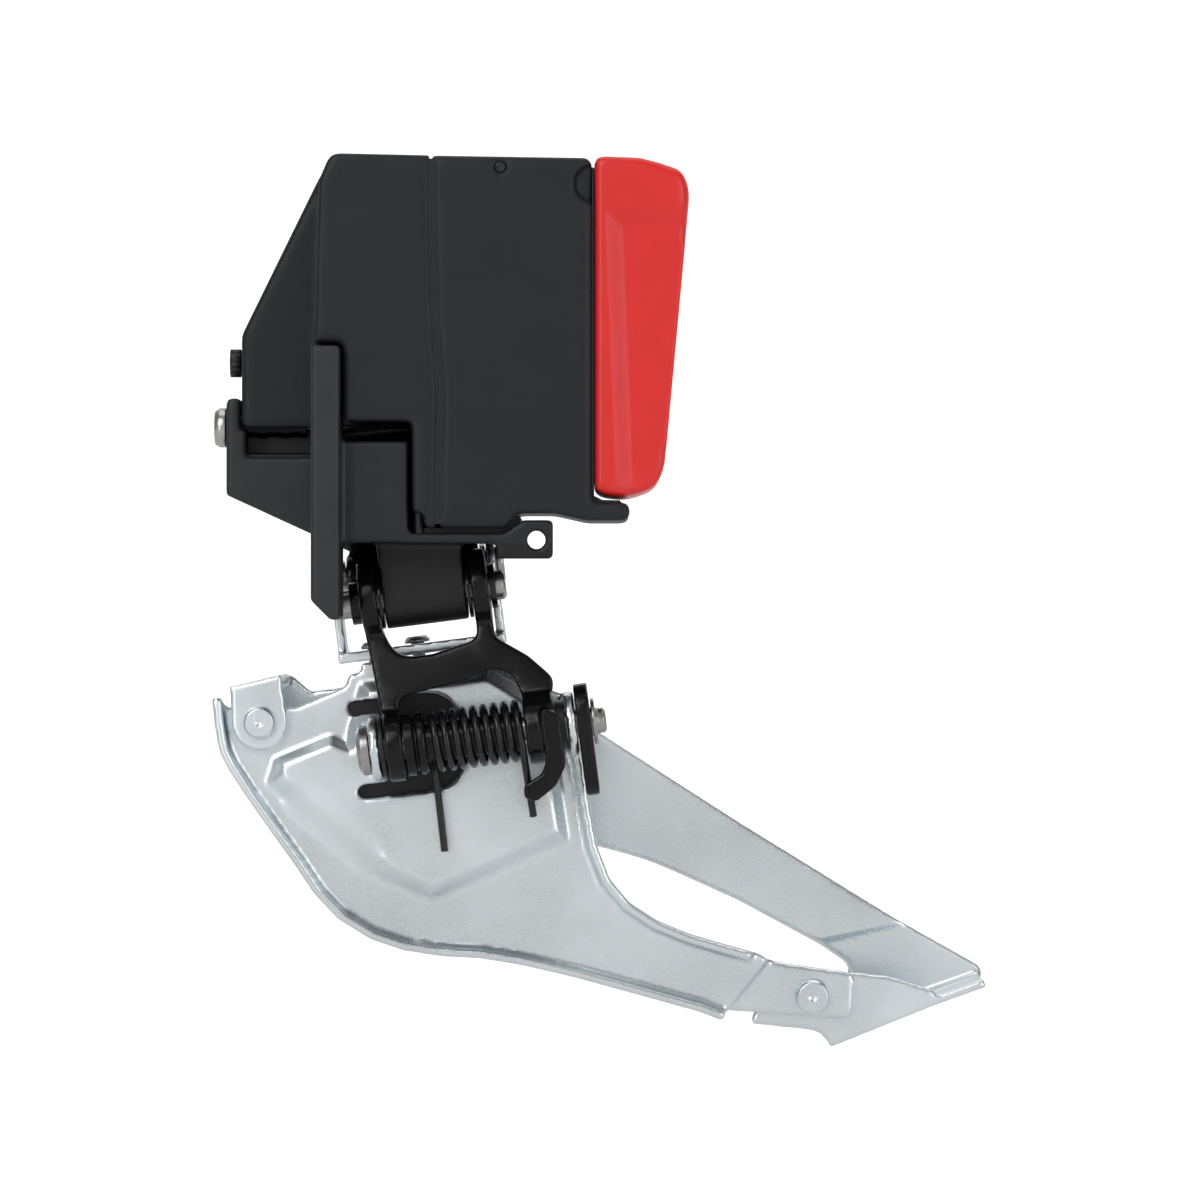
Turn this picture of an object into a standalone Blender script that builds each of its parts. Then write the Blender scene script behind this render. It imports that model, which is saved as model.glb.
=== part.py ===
"""Electronic front derailleur with a frame pad, a two-link parallelogram and a folded chain cage.

Sizes are millimetres and become metres where a mesh is made. X runs to the bike's rear, Y to the outboard
side and Z up. The origin is the middle of the flat pad face that meets the frame tab.
Link pieces are drawn in a tilted frame: u along the pivots, y outboard, w up across the pivots.
"""

import math

import bmesh
import bpy
from mathutils import Matrix, Vector

MM = 0.001

# Clearances
GAP = 0.3
RUN = 0.12
SKIN = 0.15

# Frame pad and base casting
PAD_THICK = 3.85
PAD_HALF_WIDTH = 6.0
PAD_TOP = 18.15
PAD_BOTTOM = -18.25
PAD_CHAMFER = 2.6
PAD_BOLT_RADIUS = 2.1
PAD_BOLT_HEIGHT = 9.0
BLOCK_NEAR = -2.5
BLOCK_FAR = 12.5
BLOCK_TOP = 5.55
BLOCK_BOTTOM = -7.9
SHELF_THICK = 1.3
SHELF_FAR = 11.0
TAB_THICK = 2.2
TAB_HOLE_RADIUS = 1.25
TAB_REAR = 32.1
WALL_FRONT = -12.2
WALL_REAR = -9.5
WALL_TOP = 11.7
WALL_NEAR = 9.0
WALL_FAR = 26.4
GUARD_THICK = 1.8
SILL_TOP = 3.7
SILL_FAR = 13.4

# Casing
CASE_NEAR = -3.5
CASE_FAR = 24.0
CASE_TOP = 43.9
CASE_REAR = 37.3
CASE_EDGE = 0.8
WING_NEAR = 8.5
WING_FRONT = -10.1
WING_BOTTOM = 7.65
LEG_BOTTOM = -6.0
PARTING = 16.2
PARTING_STEP = 0.8
PARTING_GAP = 0.36
LEG_WIDTH = 1.62
BLOCK_SETBACK = 3.4
BLOCK_REAR = PARTING - BLOCK_SETBACK
SCREW_SETBACK = 2.0
CASE_WALL = 2.0
CAVITY_LOW = 15.6
LIP_LENGTH = 5.05
LIP_REAR = CASE_REAR + LIP_LENGTH
LIP_TOP = -2.6
LIP_BOTTOM = -5.1

# Battery cover
COVER_TOP = 43.6
COVER_DEPTH_TOP = 13.1
COVER_DEPTH_LOW = 9.7
COVER_REAR_TOP = CASE_REAR + COVER_DEPTH_TOP
COVER_REAR_LOW = CASE_REAR + COVER_DEPTH_LOW
COVER_LOW = -2.0
COVER_NEAR = -3.0
COVER_FAR = 23.5
COVER_EDGE = 0.9
COVER_WALL = 2.2
SCOOP_DEPTH = 1.3
SEAL_WIDTH = 1.4
SEAL_CLEAR = 0.06
LATCH_HALF_WIDTH = 3.2
LATCH_THICK = 1.3
LATCH_HINGE_SETBACK = 2.7
LATCH_HINGE_X = CASE_REAR - LATCH_HINGE_SETBACK
LATCH_PIN_RADIUS = 0.7

# Linkage
TILT = 7.3
PIVOT_X = 14.7
PIVOT_Y = 9.3
PIVOT_Z = -14.85
LINK_DROP = 19.8
LINK_LEAN = -4.3
OUTER_RISE = 23.1
OUTER_SPREAD = 12.5
PIN_RADIUS = 2.0
UPPER_EAR_RADIUS = 5.3
LOWER_EAR_RADIUS = 4.8
LINK_BAR = 3.4
BARREL_RADIUS = 4.0
BARREL_HALF = 5.6
UPPER_WASHER = 0.5
UPPER_EAR_FRONT = 2.35
UPPER_EAR_REAR = 2.3
OUTER_HUB_RADIUS = 4.0
OUTER_FOOT_RADIUS = 3.2
OUTER_FRONT = -10.4
OUTER_REAR = 7.8

# Lower pivot stack along u, front to rear
LUG_THICK = 1.25
LUG_FRONT = -9.8
THRUST_FRONT = 0.6
LOWER_EAR_FRONT = 2.4
COLLAR_LENGTH = 3.0
SPRING_ROOM = 13.2
LOWER_EAR_REAR = 4.1
THRUST_REAR = 1.2
STOP_THICK = 1.9
PIN_WASHER = 0.5

# Torsion spring
WIRE = 1.0
COIL_RADIUS = 3.75
COIL_TURNS = 8.5
COIL_POINTS = 10

# Cage
SHEET = 1.2
INNER_NEAR = 12.0
OUTER_NEAR = 25.6
PANEL_RISE = 1.6
RIM_HEIGHT = 2.4
BRIDGE_TOP = -6.5
BRIDGE_THICK = 1.4
BRIDGE_FAR = 13.0
TAIL_SHIFT = 1.0
RIVET_RADIUS = 2.2
TAIL_RIVET_RADIUS = 2.35

# Drive train
MODULE = 0.6
SECTOR_TEETH = 30
PINION_TEETH = 8
WHEEL_TEETH = 14
SECTOR_U = -6.9
SECTOR_THICK = 2.4
GEAR_LEAN = 29.0
MOTOR_LEAN = 8.0

for item in list(bpy.data.objects):
    bpy.data.objects.remove(item)

PARTS = bpy.data.collections.new("front_derailleur")
bpy.context.scene.collection.children.link(PARTS)

WORLD = Matrix.Identity(4)
LINK = (
    Matrix.Translation(Vector((PIVOT_X, PIVOT_Y, PIVOT_Z)) * MM)
    @ Matrix.Rotation(math.radians(-TILT), 4, "Y")
)
PLANES = {
    "XZ": Matrix.Rotation(math.radians(90), 4, "X"),
    "YZ": Matrix(((0, 0, 1, 0), (1, 0, 0, 0), (0, 1, 0, 0), (0, 0, 0, 1))),
    "XY": WORLD,
}
NORMALS = {"XZ": Vector((0, 1, 0)), "YZ": Vector((1, 0, 0)), "XY": Vector((0, 0, 1))}
FINISHES = {
    "charcoal": ((0.028, 0.030, 0.033), 0.0, 0.55),
    "black": ((0.010, 0.010, 0.011), 0.0, 0.32),
    "zinc": ((0.55, 0.58, 0.60), 1.0, 0.32),
    "steel": ((0.50, 0.50, 0.50), 1.0, 0.28),
    "red": ((0.72, 0.035, 0.03), 0.0, 0.42),
    "board": ((0.02, 0.16, 0.06), 0.0, 0.5),
    "brass": ((0.70, 0.48, 0.18), 1.0, 0.35),
    "rubber": ((0.015, 0.015, 0.015), 0.0, 0.85),
    "lens": ((0.05, 0.05, 0.05), 0.0, 0.15),
}


def link_point(x, z):
    """The (u, w) of a point given in the photo's plane."""
    angle = math.radians(TILT)
    dx = x - PIVOT_X
    dz = z - PIVOT_Z
    return dx * math.cos(angle) + dz * math.sin(angle), dz * math.cos(angle) - dx * math.sin(angle)


def rounded(corners, step=22.0):
    """An outline from corners (a, b) or (a, b, radius); each radius becomes an arc."""
    outline = []
    count = len(corners)
    for index, corner in enumerate(corners):
        here = Vector(corner[:2])
        radius = corner[2] if len(corner) > 2 else 0.0
        before = (Vector(corners[index - 1][:2]) - here).normalized()
        after = (Vector(corners[(index + 1) % count][:2]) - here).normalized()
        half = before.angle(after) / 2
        if radius == 0.0 or half > math.radians(88):
            outline.append(tuple(here))
            continue
        centre = here + (before + after).normalized() * radius / math.sin(half)
        start = here + before * radius / math.tan(half) - centre
        turn = math.pi - 2 * half
        if start.x * (here - centre).y - start.y * (here - centre).x < 0:
            turn = -turn
        pieces = max(2, round(abs(math.degrees(turn)) / step))
        for part in range(pieces + 1):
            angle = turn * part / pieces
            cosine = math.cos(angle)
            sine = math.sin(angle)
            outline.append(
                (centre.x + start.x * cosine - start.y * sine, centre.y + start.x * sine + start.y * cosine)
            )
    return outline


def circle(a, b, radius, sides=24):
    return [
        (a + radius * math.cos(2 * math.pi * k / sides), b + radius * math.sin(2 * math.pi * k / sides))
        for k in range(sides)
    ]


def arc(a, b, radius, start, end, pieces=8):
    return [
        (
            a + radius * math.cos(math.radians(start + (end - start) * k / pieces)),
            b + radius * math.sin(math.radians(start + (end - start) * k / pieces)),
        )
        for k in range(pieces + 1)
    ]


def strip(line, thick, out=0.04):
    """A band of this thickness on the left of a line of points, standing out a little on its right."""
    outer = []
    other = []
    count = len(line)
    for index in range(count):
        here = Vector(line[index])
        back = here - Vector(line[max(index - 1, 0)])
        on = Vector(line[min(index + 1, count - 1)]) - here
        back = back.normalized() if back.length else on.normalized()
        on = on.normalized() if on.length else back
        along = (back + on).normalized()
        share = 1 / max(along.dot(on), 0.5)
        outer.append((here.x + along.y * out * share, here.y - along.x * out * share))
        other.append((here.x - along.y * thick * share, here.y + along.x * thick * share))
    return outer + other[::-1]


def add(name, mesh, frame):
    body = bpy.data.objects.new(name, mesh)
    PARTS.objects.link(body)
    body.matrix_world = frame
    return body


def tidy(mesh):
    work = bmesh.new()
    work.from_mesh(mesh)
    bmesh.ops.remove_doubles(work, verts=work.verts, dist=1e-6)
    edges = [edge for edge in work.edges if edge.is_boundary]
    bmesh.ops.holes_fill(work, edges=edges, sides=4)
    bmesh.ops.recalc_face_normals(work, faces=work.faces)
    work.to_mesh(mesh)
    work.free()
    return mesh


def baked(body):
    """The same object as a plain closed mesh."""
    bpy.context.view_layer.update()
    graph = bpy.context.evaluated_depsgraph_get()
    mesh = tidy(bpy.data.meshes.new_from_object(body.evaluated_get(graph)))
    name = body.name
    frame = body.matrix_world.copy()
    bpy.data.objects.remove(body)
    return add(name, mesh, frame)


def prism(name, plane, outline, low, high, frame=WORLD, edge=0.0, holes=()):
    """A flat outline in this plane, run from low to high across it."""
    curve = bpy.data.curves.new(name, "CURVE")
    curve.dimensions = "2D"
    curve.fill_mode = "BOTH"
    for loop in [outline, *holes]:
        spline = curve.splines.new("POLY")
        spline.points.add(len(loop) - 1)
        for point, place in zip(spline.points, loop):
            point.co = (place[0] * MM, place[1] * MM, 0, 1)
        spline.use_cyclic_u = True
    curve.extrude = ((high - low) / 2 - edge) * MM
    if edge:
        curve.bevel_depth = edge * MM
        curve.bevel_resolution = 1
        curve.offset = -edge * MM
    middle = Matrix.Translation(NORMALS[plane] * (low + high) / 2 * MM)
    body = bpy.data.objects.new(name, curve)
    PARTS.objects.link(body)
    body.matrix_world = frame @ middle @ PLANES[plane]
    return baked(body)


def rod(name, plane, place, low, high, radius, frame=WORLD, sides=24):
    """A round bar across this plane at a place in it."""
    work = bmesh.new()
    bmesh.ops.create_cone(
        work,
        cap_ends=True,
        segments=sides,
        radius1=radius * MM,
        radius2=radius * MM,
        depth=(high - low) * MM,
    )
    mesh = bpy.data.meshes.new(name)
    work.to_mesh(mesh)
    work.free()
    first, second = {"XZ": (0, 2), "YZ": (1, 2), "XY": (0, 1)}[plane]
    middle = NORMALS[plane] * (low + high) / 2
    middle[first] = place[0]
    middle[second] = place[1]
    return add(name, mesh, frame @ Matrix.Translation(middle * MM) @ PLANES[plane])


def turned(name, plane, place, profile, frame=WORLD, sides=24):
    """A turned piece: (radius, along) from its high end to its low end."""
    mesh = bpy.data.meshes.new(name)
    mesh.from_pydata(
        [(radius * MM, 0, along * MM) for radius, along in profile],
        [(k, k + 1) for k in range(len(profile) - 1)],
        [],
    )
    first, second = {"XZ": (0, 2), "YZ": (1, 2), "XY": (0, 1)}[plane]
    middle = Vector((0, 0, 0))
    middle[first] = place[0]
    middle[second] = place[1]
    turn = PLANES[plane]
    if plane == "XZ":
        turn = Matrix.Rotation(math.radians(-90), 4, "X")
    body = add(name, mesh, frame @ Matrix.Translation(middle * MM) @ turn)
    screw = body.modifiers.new("Screw", "SCREW")
    screw.steps = sides
    screw.render_steps = sides
    screw.use_merge_vertices = True
    screw.merge_threshold = 1e-6
    return baked(body)


def box(name, low, high, frame=WORLD):
    size = Vector(high) - Vector(low)
    work = bmesh.new()
    bmesh.ops.create_cube(work, size=1.0)
    bmesh.ops.scale(work, vec=size * MM, verts=work.verts)
    bmesh.ops.translate(work, vec=(Vector(high) + Vector(low)) / 2 * MM, verts=work.verts)
    mesh = bpy.data.meshes.new(name)
    work.to_mesh(mesh)
    work.free()
    return add(name, mesh, frame)


def pan(name, rim, floor, low, brim, high):
    """A dished solid along Y: the floor outline at low widens to the rim at brim, which runs on to high."""
    count = len(rim)
    rings = [(floor, low), (rim, brim), (rim, high)]
    corners = [(a * MM, y * MM, b * MM) for outline, y in rings for a, b in outline]
    faces = [tuple(range(count)), tuple(range(3 * count - 1, 2 * count - 1, -1))]
    for ring in range(2):
        for k in range(count):
            here = ring * count + k
            after = ring * count + (k + 1) % count
            faces += [(here, after, after + count), (here, after + count, here + count)]
    mesh = bpy.data.meshes.new(name)
    mesh.from_pydata(corners, [], faces)
    return add(name, tidy(mesh), WORLD)


def combine(body, tools, operation):
    for tool in tools:
        change = body.modifiers.new("Boolean", "BOOLEAN")
        change.operation = operation
        change.solver = "EXACT"
        change.object = tool
        body = baked(body)
        bpy.data.objects.remove(tool)
    return body


def join(body, *tools):
    return combine(body, tools, "UNION")


def cut(body, *tools):
    return combine(body, tools, "DIFFERENCE")


def finish(body, kind):
    colour, metal, rough = FINISHES[kind]
    material = bpy.data.materials.new(body.name)
    material.use_nodes = True
    shader = material.node_tree.nodes["Principled BSDF"]
    shader.inputs["Base Color"].default_value = (*colour, 1.0)
    shader.inputs["Metallic"].default_value = metal
    shader.inputs["Roughness"].default_value = rough
    material.diffuse_color = (*colour, 1.0)
    body.data.materials.clear()
    body.data.materials.append(material)
    return body


def gear_outline(a, b, teeth, phase, first=0, last=None):
    """Straight-flank teeth round a centre, the first tooth in the phase direction."""
    pitch = MODULE * teeth / 2
    root = pitch - 1.2 * MODULE
    tip = pitch + 0.75 * MODULE
    step = 2 * math.pi / teeth
    outline = []
    for k in range(first, teeth if last is None else last):
        middle = phase + k * step
        for radius, share in ((root, -0.33), (tip, -0.12), (tip, 0.12), (root, 0.33)):
            angle = middle + share * step
            outline.append((a + radius * math.cos(angle), b + radius * math.sin(angle)))
    return outline


# Pivot places in the link frame, as (y, w)
UPPER_IN = (0.0, 0.0)
LOWER_IN = (LINK_LEAN, -LINK_DROP)
UPPER_OUT = (OUTER_SPREAD, OUTER_RISE)
LOWER_OUT = (OUTER_SPREAD + LINK_LEAN, OUTER_RISE - LINK_DROP)
BORE = PIN_RADIUS + RUN

# Upper pivot stack along u
EAR_A = -BARREL_HALF - UPPER_WASHER - 2 * SKIN
EAR_B = EAR_A - UPPER_EAR_FRONT
EAR_C = BARREL_HALF + UPPER_WASHER + 2 * SKIN
EAR_D = EAR_C + UPPER_EAR_REAR

# Lower pivot stack along u
LUG_END = LUG_FRONT + LUG_THICK
FOOT_A = LUG_END + THRUST_FRONT + 2 * SKIN
FOOT_B = FOOT_A + LOWER_EAR_FRONT
COIL_A = FOOT_B + SKIN + COLLAR_LENGTH
COIL_B = COIL_A + SPRING_ROOM
FOOT_C = COIL_B + SKIN
FOOT_D = FOOT_C + LOWER_EAR_REAR
LUG_C = FOOT_D + THRUST_REAR + 2 * SKIN
LUG_D = LUG_C + LUG_THICK
STOP_END = LUG_D + SKIN + STOP_THICK

# Gear places in the link frame
SECTOR_PITCH = MODULE * SECTOR_TEETH / 2
PINION_PITCH = MODULE * PINION_TEETH / 2
WHEEL_PITCH = MODULE * WHEEL_TEETH / 2
GEAR_ANGLE = math.radians(90 + GEAR_LEAN)
GEAR_AT = (
    UPPER_OUT[0] + (SECTOR_PITCH + PINION_PITCH) * math.cos(GEAR_ANGLE),
    UPPER_OUT[1] + (SECTOR_PITCH + PINION_PITCH) * math.sin(GEAR_ANGLE),
)
MOTOR_ANGLE = math.radians(90 + MOTOR_LEAN)
MOTOR_AT = (
    GEAR_AT[0] + (WHEEL_PITCH + PINION_PITCH) * math.cos(MOTOR_ANGLE),
    GEAR_AT[1] + (WHEEL_PITCH + PINION_PITCH) * math.sin(MOTOR_ANGLE),
)
WHEEL_U = SECTOR_U + SECTOR_THICK + 0.4
WHEEL_THICK = 1.6
PLATE_U = WHEEL_U + WHEEL_THICK + 0.6
PLATE_THICK = 1.2
SHAFT_RADIUS = 0.8
MOTOR_RADIUS = 5.6
MOTOR_LENGTH = 15.0
CASE_MID = (CASE_NEAR + CASE_FAR) / 2


def mount_base():
    pad = prism(
        "mount_base",
        "XZ",
        [
            (0, PAD_BOTTOM + PAD_CHAMFER),
            (PAD_CHAMFER, PAD_BOTTOM),
            (PAD_THICK, PAD_BOTTOM),
            (PAD_THICK, PAD_TOP),
            (0, PAD_TOP),
        ],
        -PAD_HALF_WIDTH,
        PAD_HALF_WIDTH,
        edge=0.35,
    )
    block = box(
        "block",
        (PAD_THICK - 0.8, BLOCK_NEAR, BLOCK_BOTTOM),
        (BLOCK_REAR, BLOCK_FAR, BLOCK_TOP),
    )
    shelf_low = BLOCK_BOTTOM - 0.1
    shelf = box(
        "shelf",
        (BLOCK_REAR - 1.0, BLOCK_NEAR + 0.05, shelf_low),
        (TAB_REAR - 6.2, SHELF_FAR, shelf_low + SHELF_THICK),
    )
    tab = prism(
        "tab",
        "XZ",
        rounded(
            [
                (TAB_REAR - 7.6, shelf_low - 2.1, 0.5),
                (TAB_REAR, shelf_low - 2.1, 0.5),
                (TAB_REAR, shelf_low + 3.05, 0.5),
                (TAB_REAR - 4.0, shelf_low + 3.05, 0.5),
                (TAB_REAR - 7.6, shelf_low + 0.7, 0.3),
            ]
        ),
        BLOCK_NEAR,
        BLOCK_NEAR + TAB_THICK,
        holes=[circle(TAB_REAR - 2.2, shelf_low + 0.4, TAB_HOLE_RADIUS, 20)],
    )
    sill = prism(
        "sill",
        "XZ",
        rounded(
            [
                (WALL_FRONT, SILL_TOP),
                (WALL_FRONT, -1.4, 0.6),
                (WALL_FRONT + 0.9, -1.8, 0.6),
                (PAD_THICK + 1.2, -8.3 - (PAD_THICK + 1.2) * 0.2),
                (PAD_THICK + 1.2, SILL_TOP),
            ]
        ),
        WALL_NEAR,
        SILL_FAR,
        edge=0.35,
    )
    cheek_rear = WING_FRONT - GAP
    cheek = prism(
        "cheek",
        "XZ",
        rounded(
            [
                (WALL_FRONT, -1.4),
                (WALL_REAR, -1.4),
                (WALL_REAR, WING_BOTTOM - GAP),
                (cheek_rear, WING_BOTTOM - GAP),
                (cheek_rear, WALL_TOP),
                (WALL_FRONT, WALL_TOP, 0.8),
            ]
        ),
        WALL_NEAR + 0.02,
        WALL_FAR,
        edge=0.3,
    )
    barrel = rod("barrel", "YZ", UPPER_IN, -BARREL_HALF, BARREL_HALF, BARREL_RADIUS, LINK, 28)
    web = box(
        "web",
        (-BARREL_HALF + 0.03, -BARREL_RADIUS + 0.06, 0.0),
        (BARREL_HALF - 0.03, 1.4, 7.6),
        LINK,
    )
    limit = box("limit", (-30, -30, shelf_low + 0.3), (60, 60, 60))
    web = cut(web, limit)
    guard = prism(
        "guard",
        "XZ",
        rounded(
            [
                (WALL_FRONT + 0.9, SILL_TOP - 2.4),
                (0.4, SILL_TOP - 2.4, 1.5),
                (0.4, WING_BOTTOM + 2.6, 1.5),
                (WALL_FRONT + 0.9, WING_BOTTOM + 2.6),
            ]
        ),
        WALL_FAR - GUARD_THICK,
        WALL_FAR - 0.4,
        edge=0.25,
    )
    base = join(pad, block, sill, cheek, shelf, tab, barrel, web, guard)
    bolt = rod("bolt", "YZ", (0, PAD_BOLT_HEIGHT), -1, PAD_THICK + 1, PAD_BOLT_RADIUS)
    pin = rod("pin", "YZ", UPPER_IN, -BARREL_HALF - 1, BARREL_HALF + 1, BORE, LINK)
    axle = rod("axle", "YZ", UPPER_OUT, -40, OUTER_FRONT, BORE, LINK)
    front = rod("front", "YZ", (FRONT_BOLT[0], FRONT_BOLT[1]), WALL_FRONT - 1, -8, 1.65, sides=16)
    screw_a = rod("screw_a", "XY", BASE_SCREW_A, shelf_low - 1, shelf_low + 3, 0.8, sides=12)
    screw_b = rod("screw_b", "XY", BASE_SCREW_B, shelf_low - 1, shelf_low + 3, 0.8, sides=12)
    return cut(base, bolt, pin, axle, front, screw_a, screw_b)


FRONT_BOLT = (12.6, 7.8)
LIMIT_SCREW = (14.0, 16.6)
BASE_SCREW_A = (PARTING - SCREW_SETBACK, -0.6)
BASE_SCREW_B = (PARTING - SCREW_SETBACK, 3.4)


def parting_line(shift):
    """The joint between the two casing halves, from top to bottom."""
    return [
        (PARTING - 0.4 + shift, CASE_TOP - 0.3),
        (PARTING + shift, 24.3),
        (PARTING + PARTING_STEP + shift, 11.0),
        (PARTING + PARTING_STEP - 0.3 + shift, LEG_BOTTOM),
    ]


def motor_housing():
    line = parting_line(-PARTING_GAP / 2)
    notch = PAD_THICK + GAP
    leg_front = line[-1][0] - LEG_WIDTH
    near = prism(
        "motor_housing",
        "XZ",
        rounded(
            [
                (0.3, PAD_TOP + 0.5),
                (0.9, 40.2, 2.5),
                (2.5, CASE_TOP, 1.6),
                *line,
                (leg_front, LEG_BOTTOM, 0.7),
                (leg_front, LEG_BOTTOM + 1.9),
                (BLOCK_REAR + 0.6, LEG_BOTTOM + 2.1),
                (BLOCK_REAR + 0.5, 8.2, 0.7),
                (notch, 8.2),
                (notch, PAD_TOP + 0.5),
            ][::-1]
        ),
        CASE_NEAR,
        WING_NEAR + 1.2,
        edge=0.5,
    )
    deep = prism(
        "deep",
        "XZ",
        rounded(
            [
                (WING_FRONT, WING_BOTTOM, 1.0),
                (WING_FRONT, 20.2, 2.0),
                (0.4, 41.6, 2.5),
                (2.4, CASE_TOP - 0.06, 1.6),
                (line[0][0] - 0.03, line[0][1] - 0.06),
                (line[1][0] - 0.03, line[1][1]),
                (line[2][0] - 0.03, line[2][1]),
                (line[2][0] - 0.07, WING_BOTTOM),
            ][::-1]
        ),
        WING_NEAR,
        CASE_FAR,
        edge=CASE_EDGE,
    )
    body = join(near, deep)
    relief = box(
        "relief",
        (-40, UPPER_OUT[0] - OUTER_HUB_RADIUS - 0.6, -20),
        (OUTER_REAR + 2.2, 40, UPPER_OUT[1] + OUTER_HUB_RADIUS + 0.4),
        LINK,
    )
    cavity = box(
        "cavity",
        (CASE_WALL + 0.6, CASE_NEAR + CASE_WALL, CAVITY_LOW),
        (PARTING + 5, CASE_FAR - CASE_WALL, CASE_TOP - CASE_WALL - 0.4),
    )
    slot = rod(
        "slot",
        "YZ",
        UPPER_OUT,
        SECTOR_U - 0.4,
        SECTOR_U + SECTOR_THICK + 0.4,
        SECTOR_PITCH + MODULE + 0.5,
        LINK,
        32,
    )
    pocket = rod(
        "pocket",
        "YZ",
        GEAR_AT,
        SECTOR_U - 0.5,
        PLATE_U + PLATE_THICK + 0.5,
        WHEEL_PITCH + MODULE + 0.5,
        LINK,
        28,
    )
    shaft = rod("shaft", "YZ", GEAR_AT, SHAFT_FRONT - 0.2, 0, SHAFT_RADIUS + 0.12, LINK, 12)
    bolt = rod("bolt", "YZ", FRONT_BOLT, WING_FRONT - 2, -0.8, 1.85, sides=16)
    screw = rod("screw", "YZ", LIMIT_SCREW, WING_FRONT - 2, WING_FRONT + 6.2, 1.35, sides=16)
    screw_a = rod("screw_a", "XY", BASE_SCREW_A, -9, 0.6, 0.85, sides=12)
    screw_b = rod("screw_b", "XY", BASE_SCREW_B, -9, 0.6, 0.85, sides=12)
    return cut(body, relief, cavity, slot, pocket, shaft, bolt, screw, screw_a, screw_b)


SHAFT_FRONT = -12.6


def rear_housing():
    line = parting_line(PARTING_GAP / 2)
    body = prism(
        "rear_housing",
        "XZ",
        rounded(
            [
                *line[::-1],
                (CASE_REAR, CASE_TOP - 0.65, 1.0),
                (CASE_REAR, LIP_TOP),
                (LIP_REAR, LIP_TOP, 1.0),
                (LIP_REAR, LIP_BOTTOM, 1.0),
                (36.6, LIP_BOTTOM, 3.0),
                (32.2, LIP_BOTTOM + 1.0, 3.0),
                (27.3, LIP_BOTTOM + 1.0),
                (25.8, LEG_BOTTOM),
            ][::-1]
        ),
        CASE_NEAR,
        CASE_FAR,
        edge=CASE_EDGE,
    )
    relief = box(
        "relief",
        (-40, UPPER_OUT[0] - OUTER_HUB_RADIUS - 0.6, -40),
        (OUTER_REAR + 2.2, 40, UPPER_OUT[1] + OUTER_HUB_RADIUS + 0.4),
        LINK,
    )
    cavity = box(
        "cavity",
        (PARTING - 5, CASE_NEAR + CASE_WALL, CAVITY_LOW),
        (CASE_REAR - 2.2, CASE_FAR - CASE_WALL, CASE_TOP - CASE_WALL - 2.4),
    )
    groove = box(
        "groove",
        (LATCH_HINGE_X - 1.9, CASE_MID - LATCH_HALF_WIDTH - GAP, LATCH_HINGE_Z - 1.6),
        (CASE_REAR + 5, CASE_MID + LATCH_HALF_WIDTH + GAP, CASE_TOP + 5),
    )
    hinge = rod(
        "hinge",
        "XZ",
        (LATCH_HINGE_X, LATCH_HINGE_Z),
        CASE_MID - LATCH_HALF_WIDTH - 2.2,
        CASE_MID + LATCH_HALF_WIDTH + 2.2,
        LATCH_PIN_RADIUS + 0.1,
        sides=16,
    )
    oval = rod("oval", "XZ", (CASE_REAR + 0.2, 39.8), CASE_NEAR - 2, CASE_NEAR + 1.4, 2.6, sides=28)
    axle = rod("axle", "YZ", UPPER_OUT, 0, AXLE_REAR + 0.3, BORE, LINK)
    lens = rod("lens", "XZ", LENS_AT, CASE_NEAR - 2, CASE_NEAR + 1.2, 0.8, sides=16)
    button = rod("button", "XZ", BUTTON_AT, CASE_FAR - 1.6, CASE_FAR + 2, 2.9, sides=24)
    stem = rod("stem", "XZ", BUTTON_AT, CASE_FAR - 4, CASE_FAR, 1.2, sides=16)
    contacts = box(
        "contacts",
        (CASE_REAR - 3.0, CASE_MID - 5.2, CONTACT_LOW - 0.2),
        (CASE_REAR + 5, CASE_MID + 5.2, CONTACT_LOW + 8.2),
    )
    return cut(body, relief, cavity, groove, hinge, oval, axle, lens, button, stem, contacts)


LATCH_HINGE_Z = 41.6
AXLE_REAR = 13.0
LENS_AT = (25.1, 42.0)
BUTTON_AT = (29.0, 30.0)
CONTACT_LOW = 5.0


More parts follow.
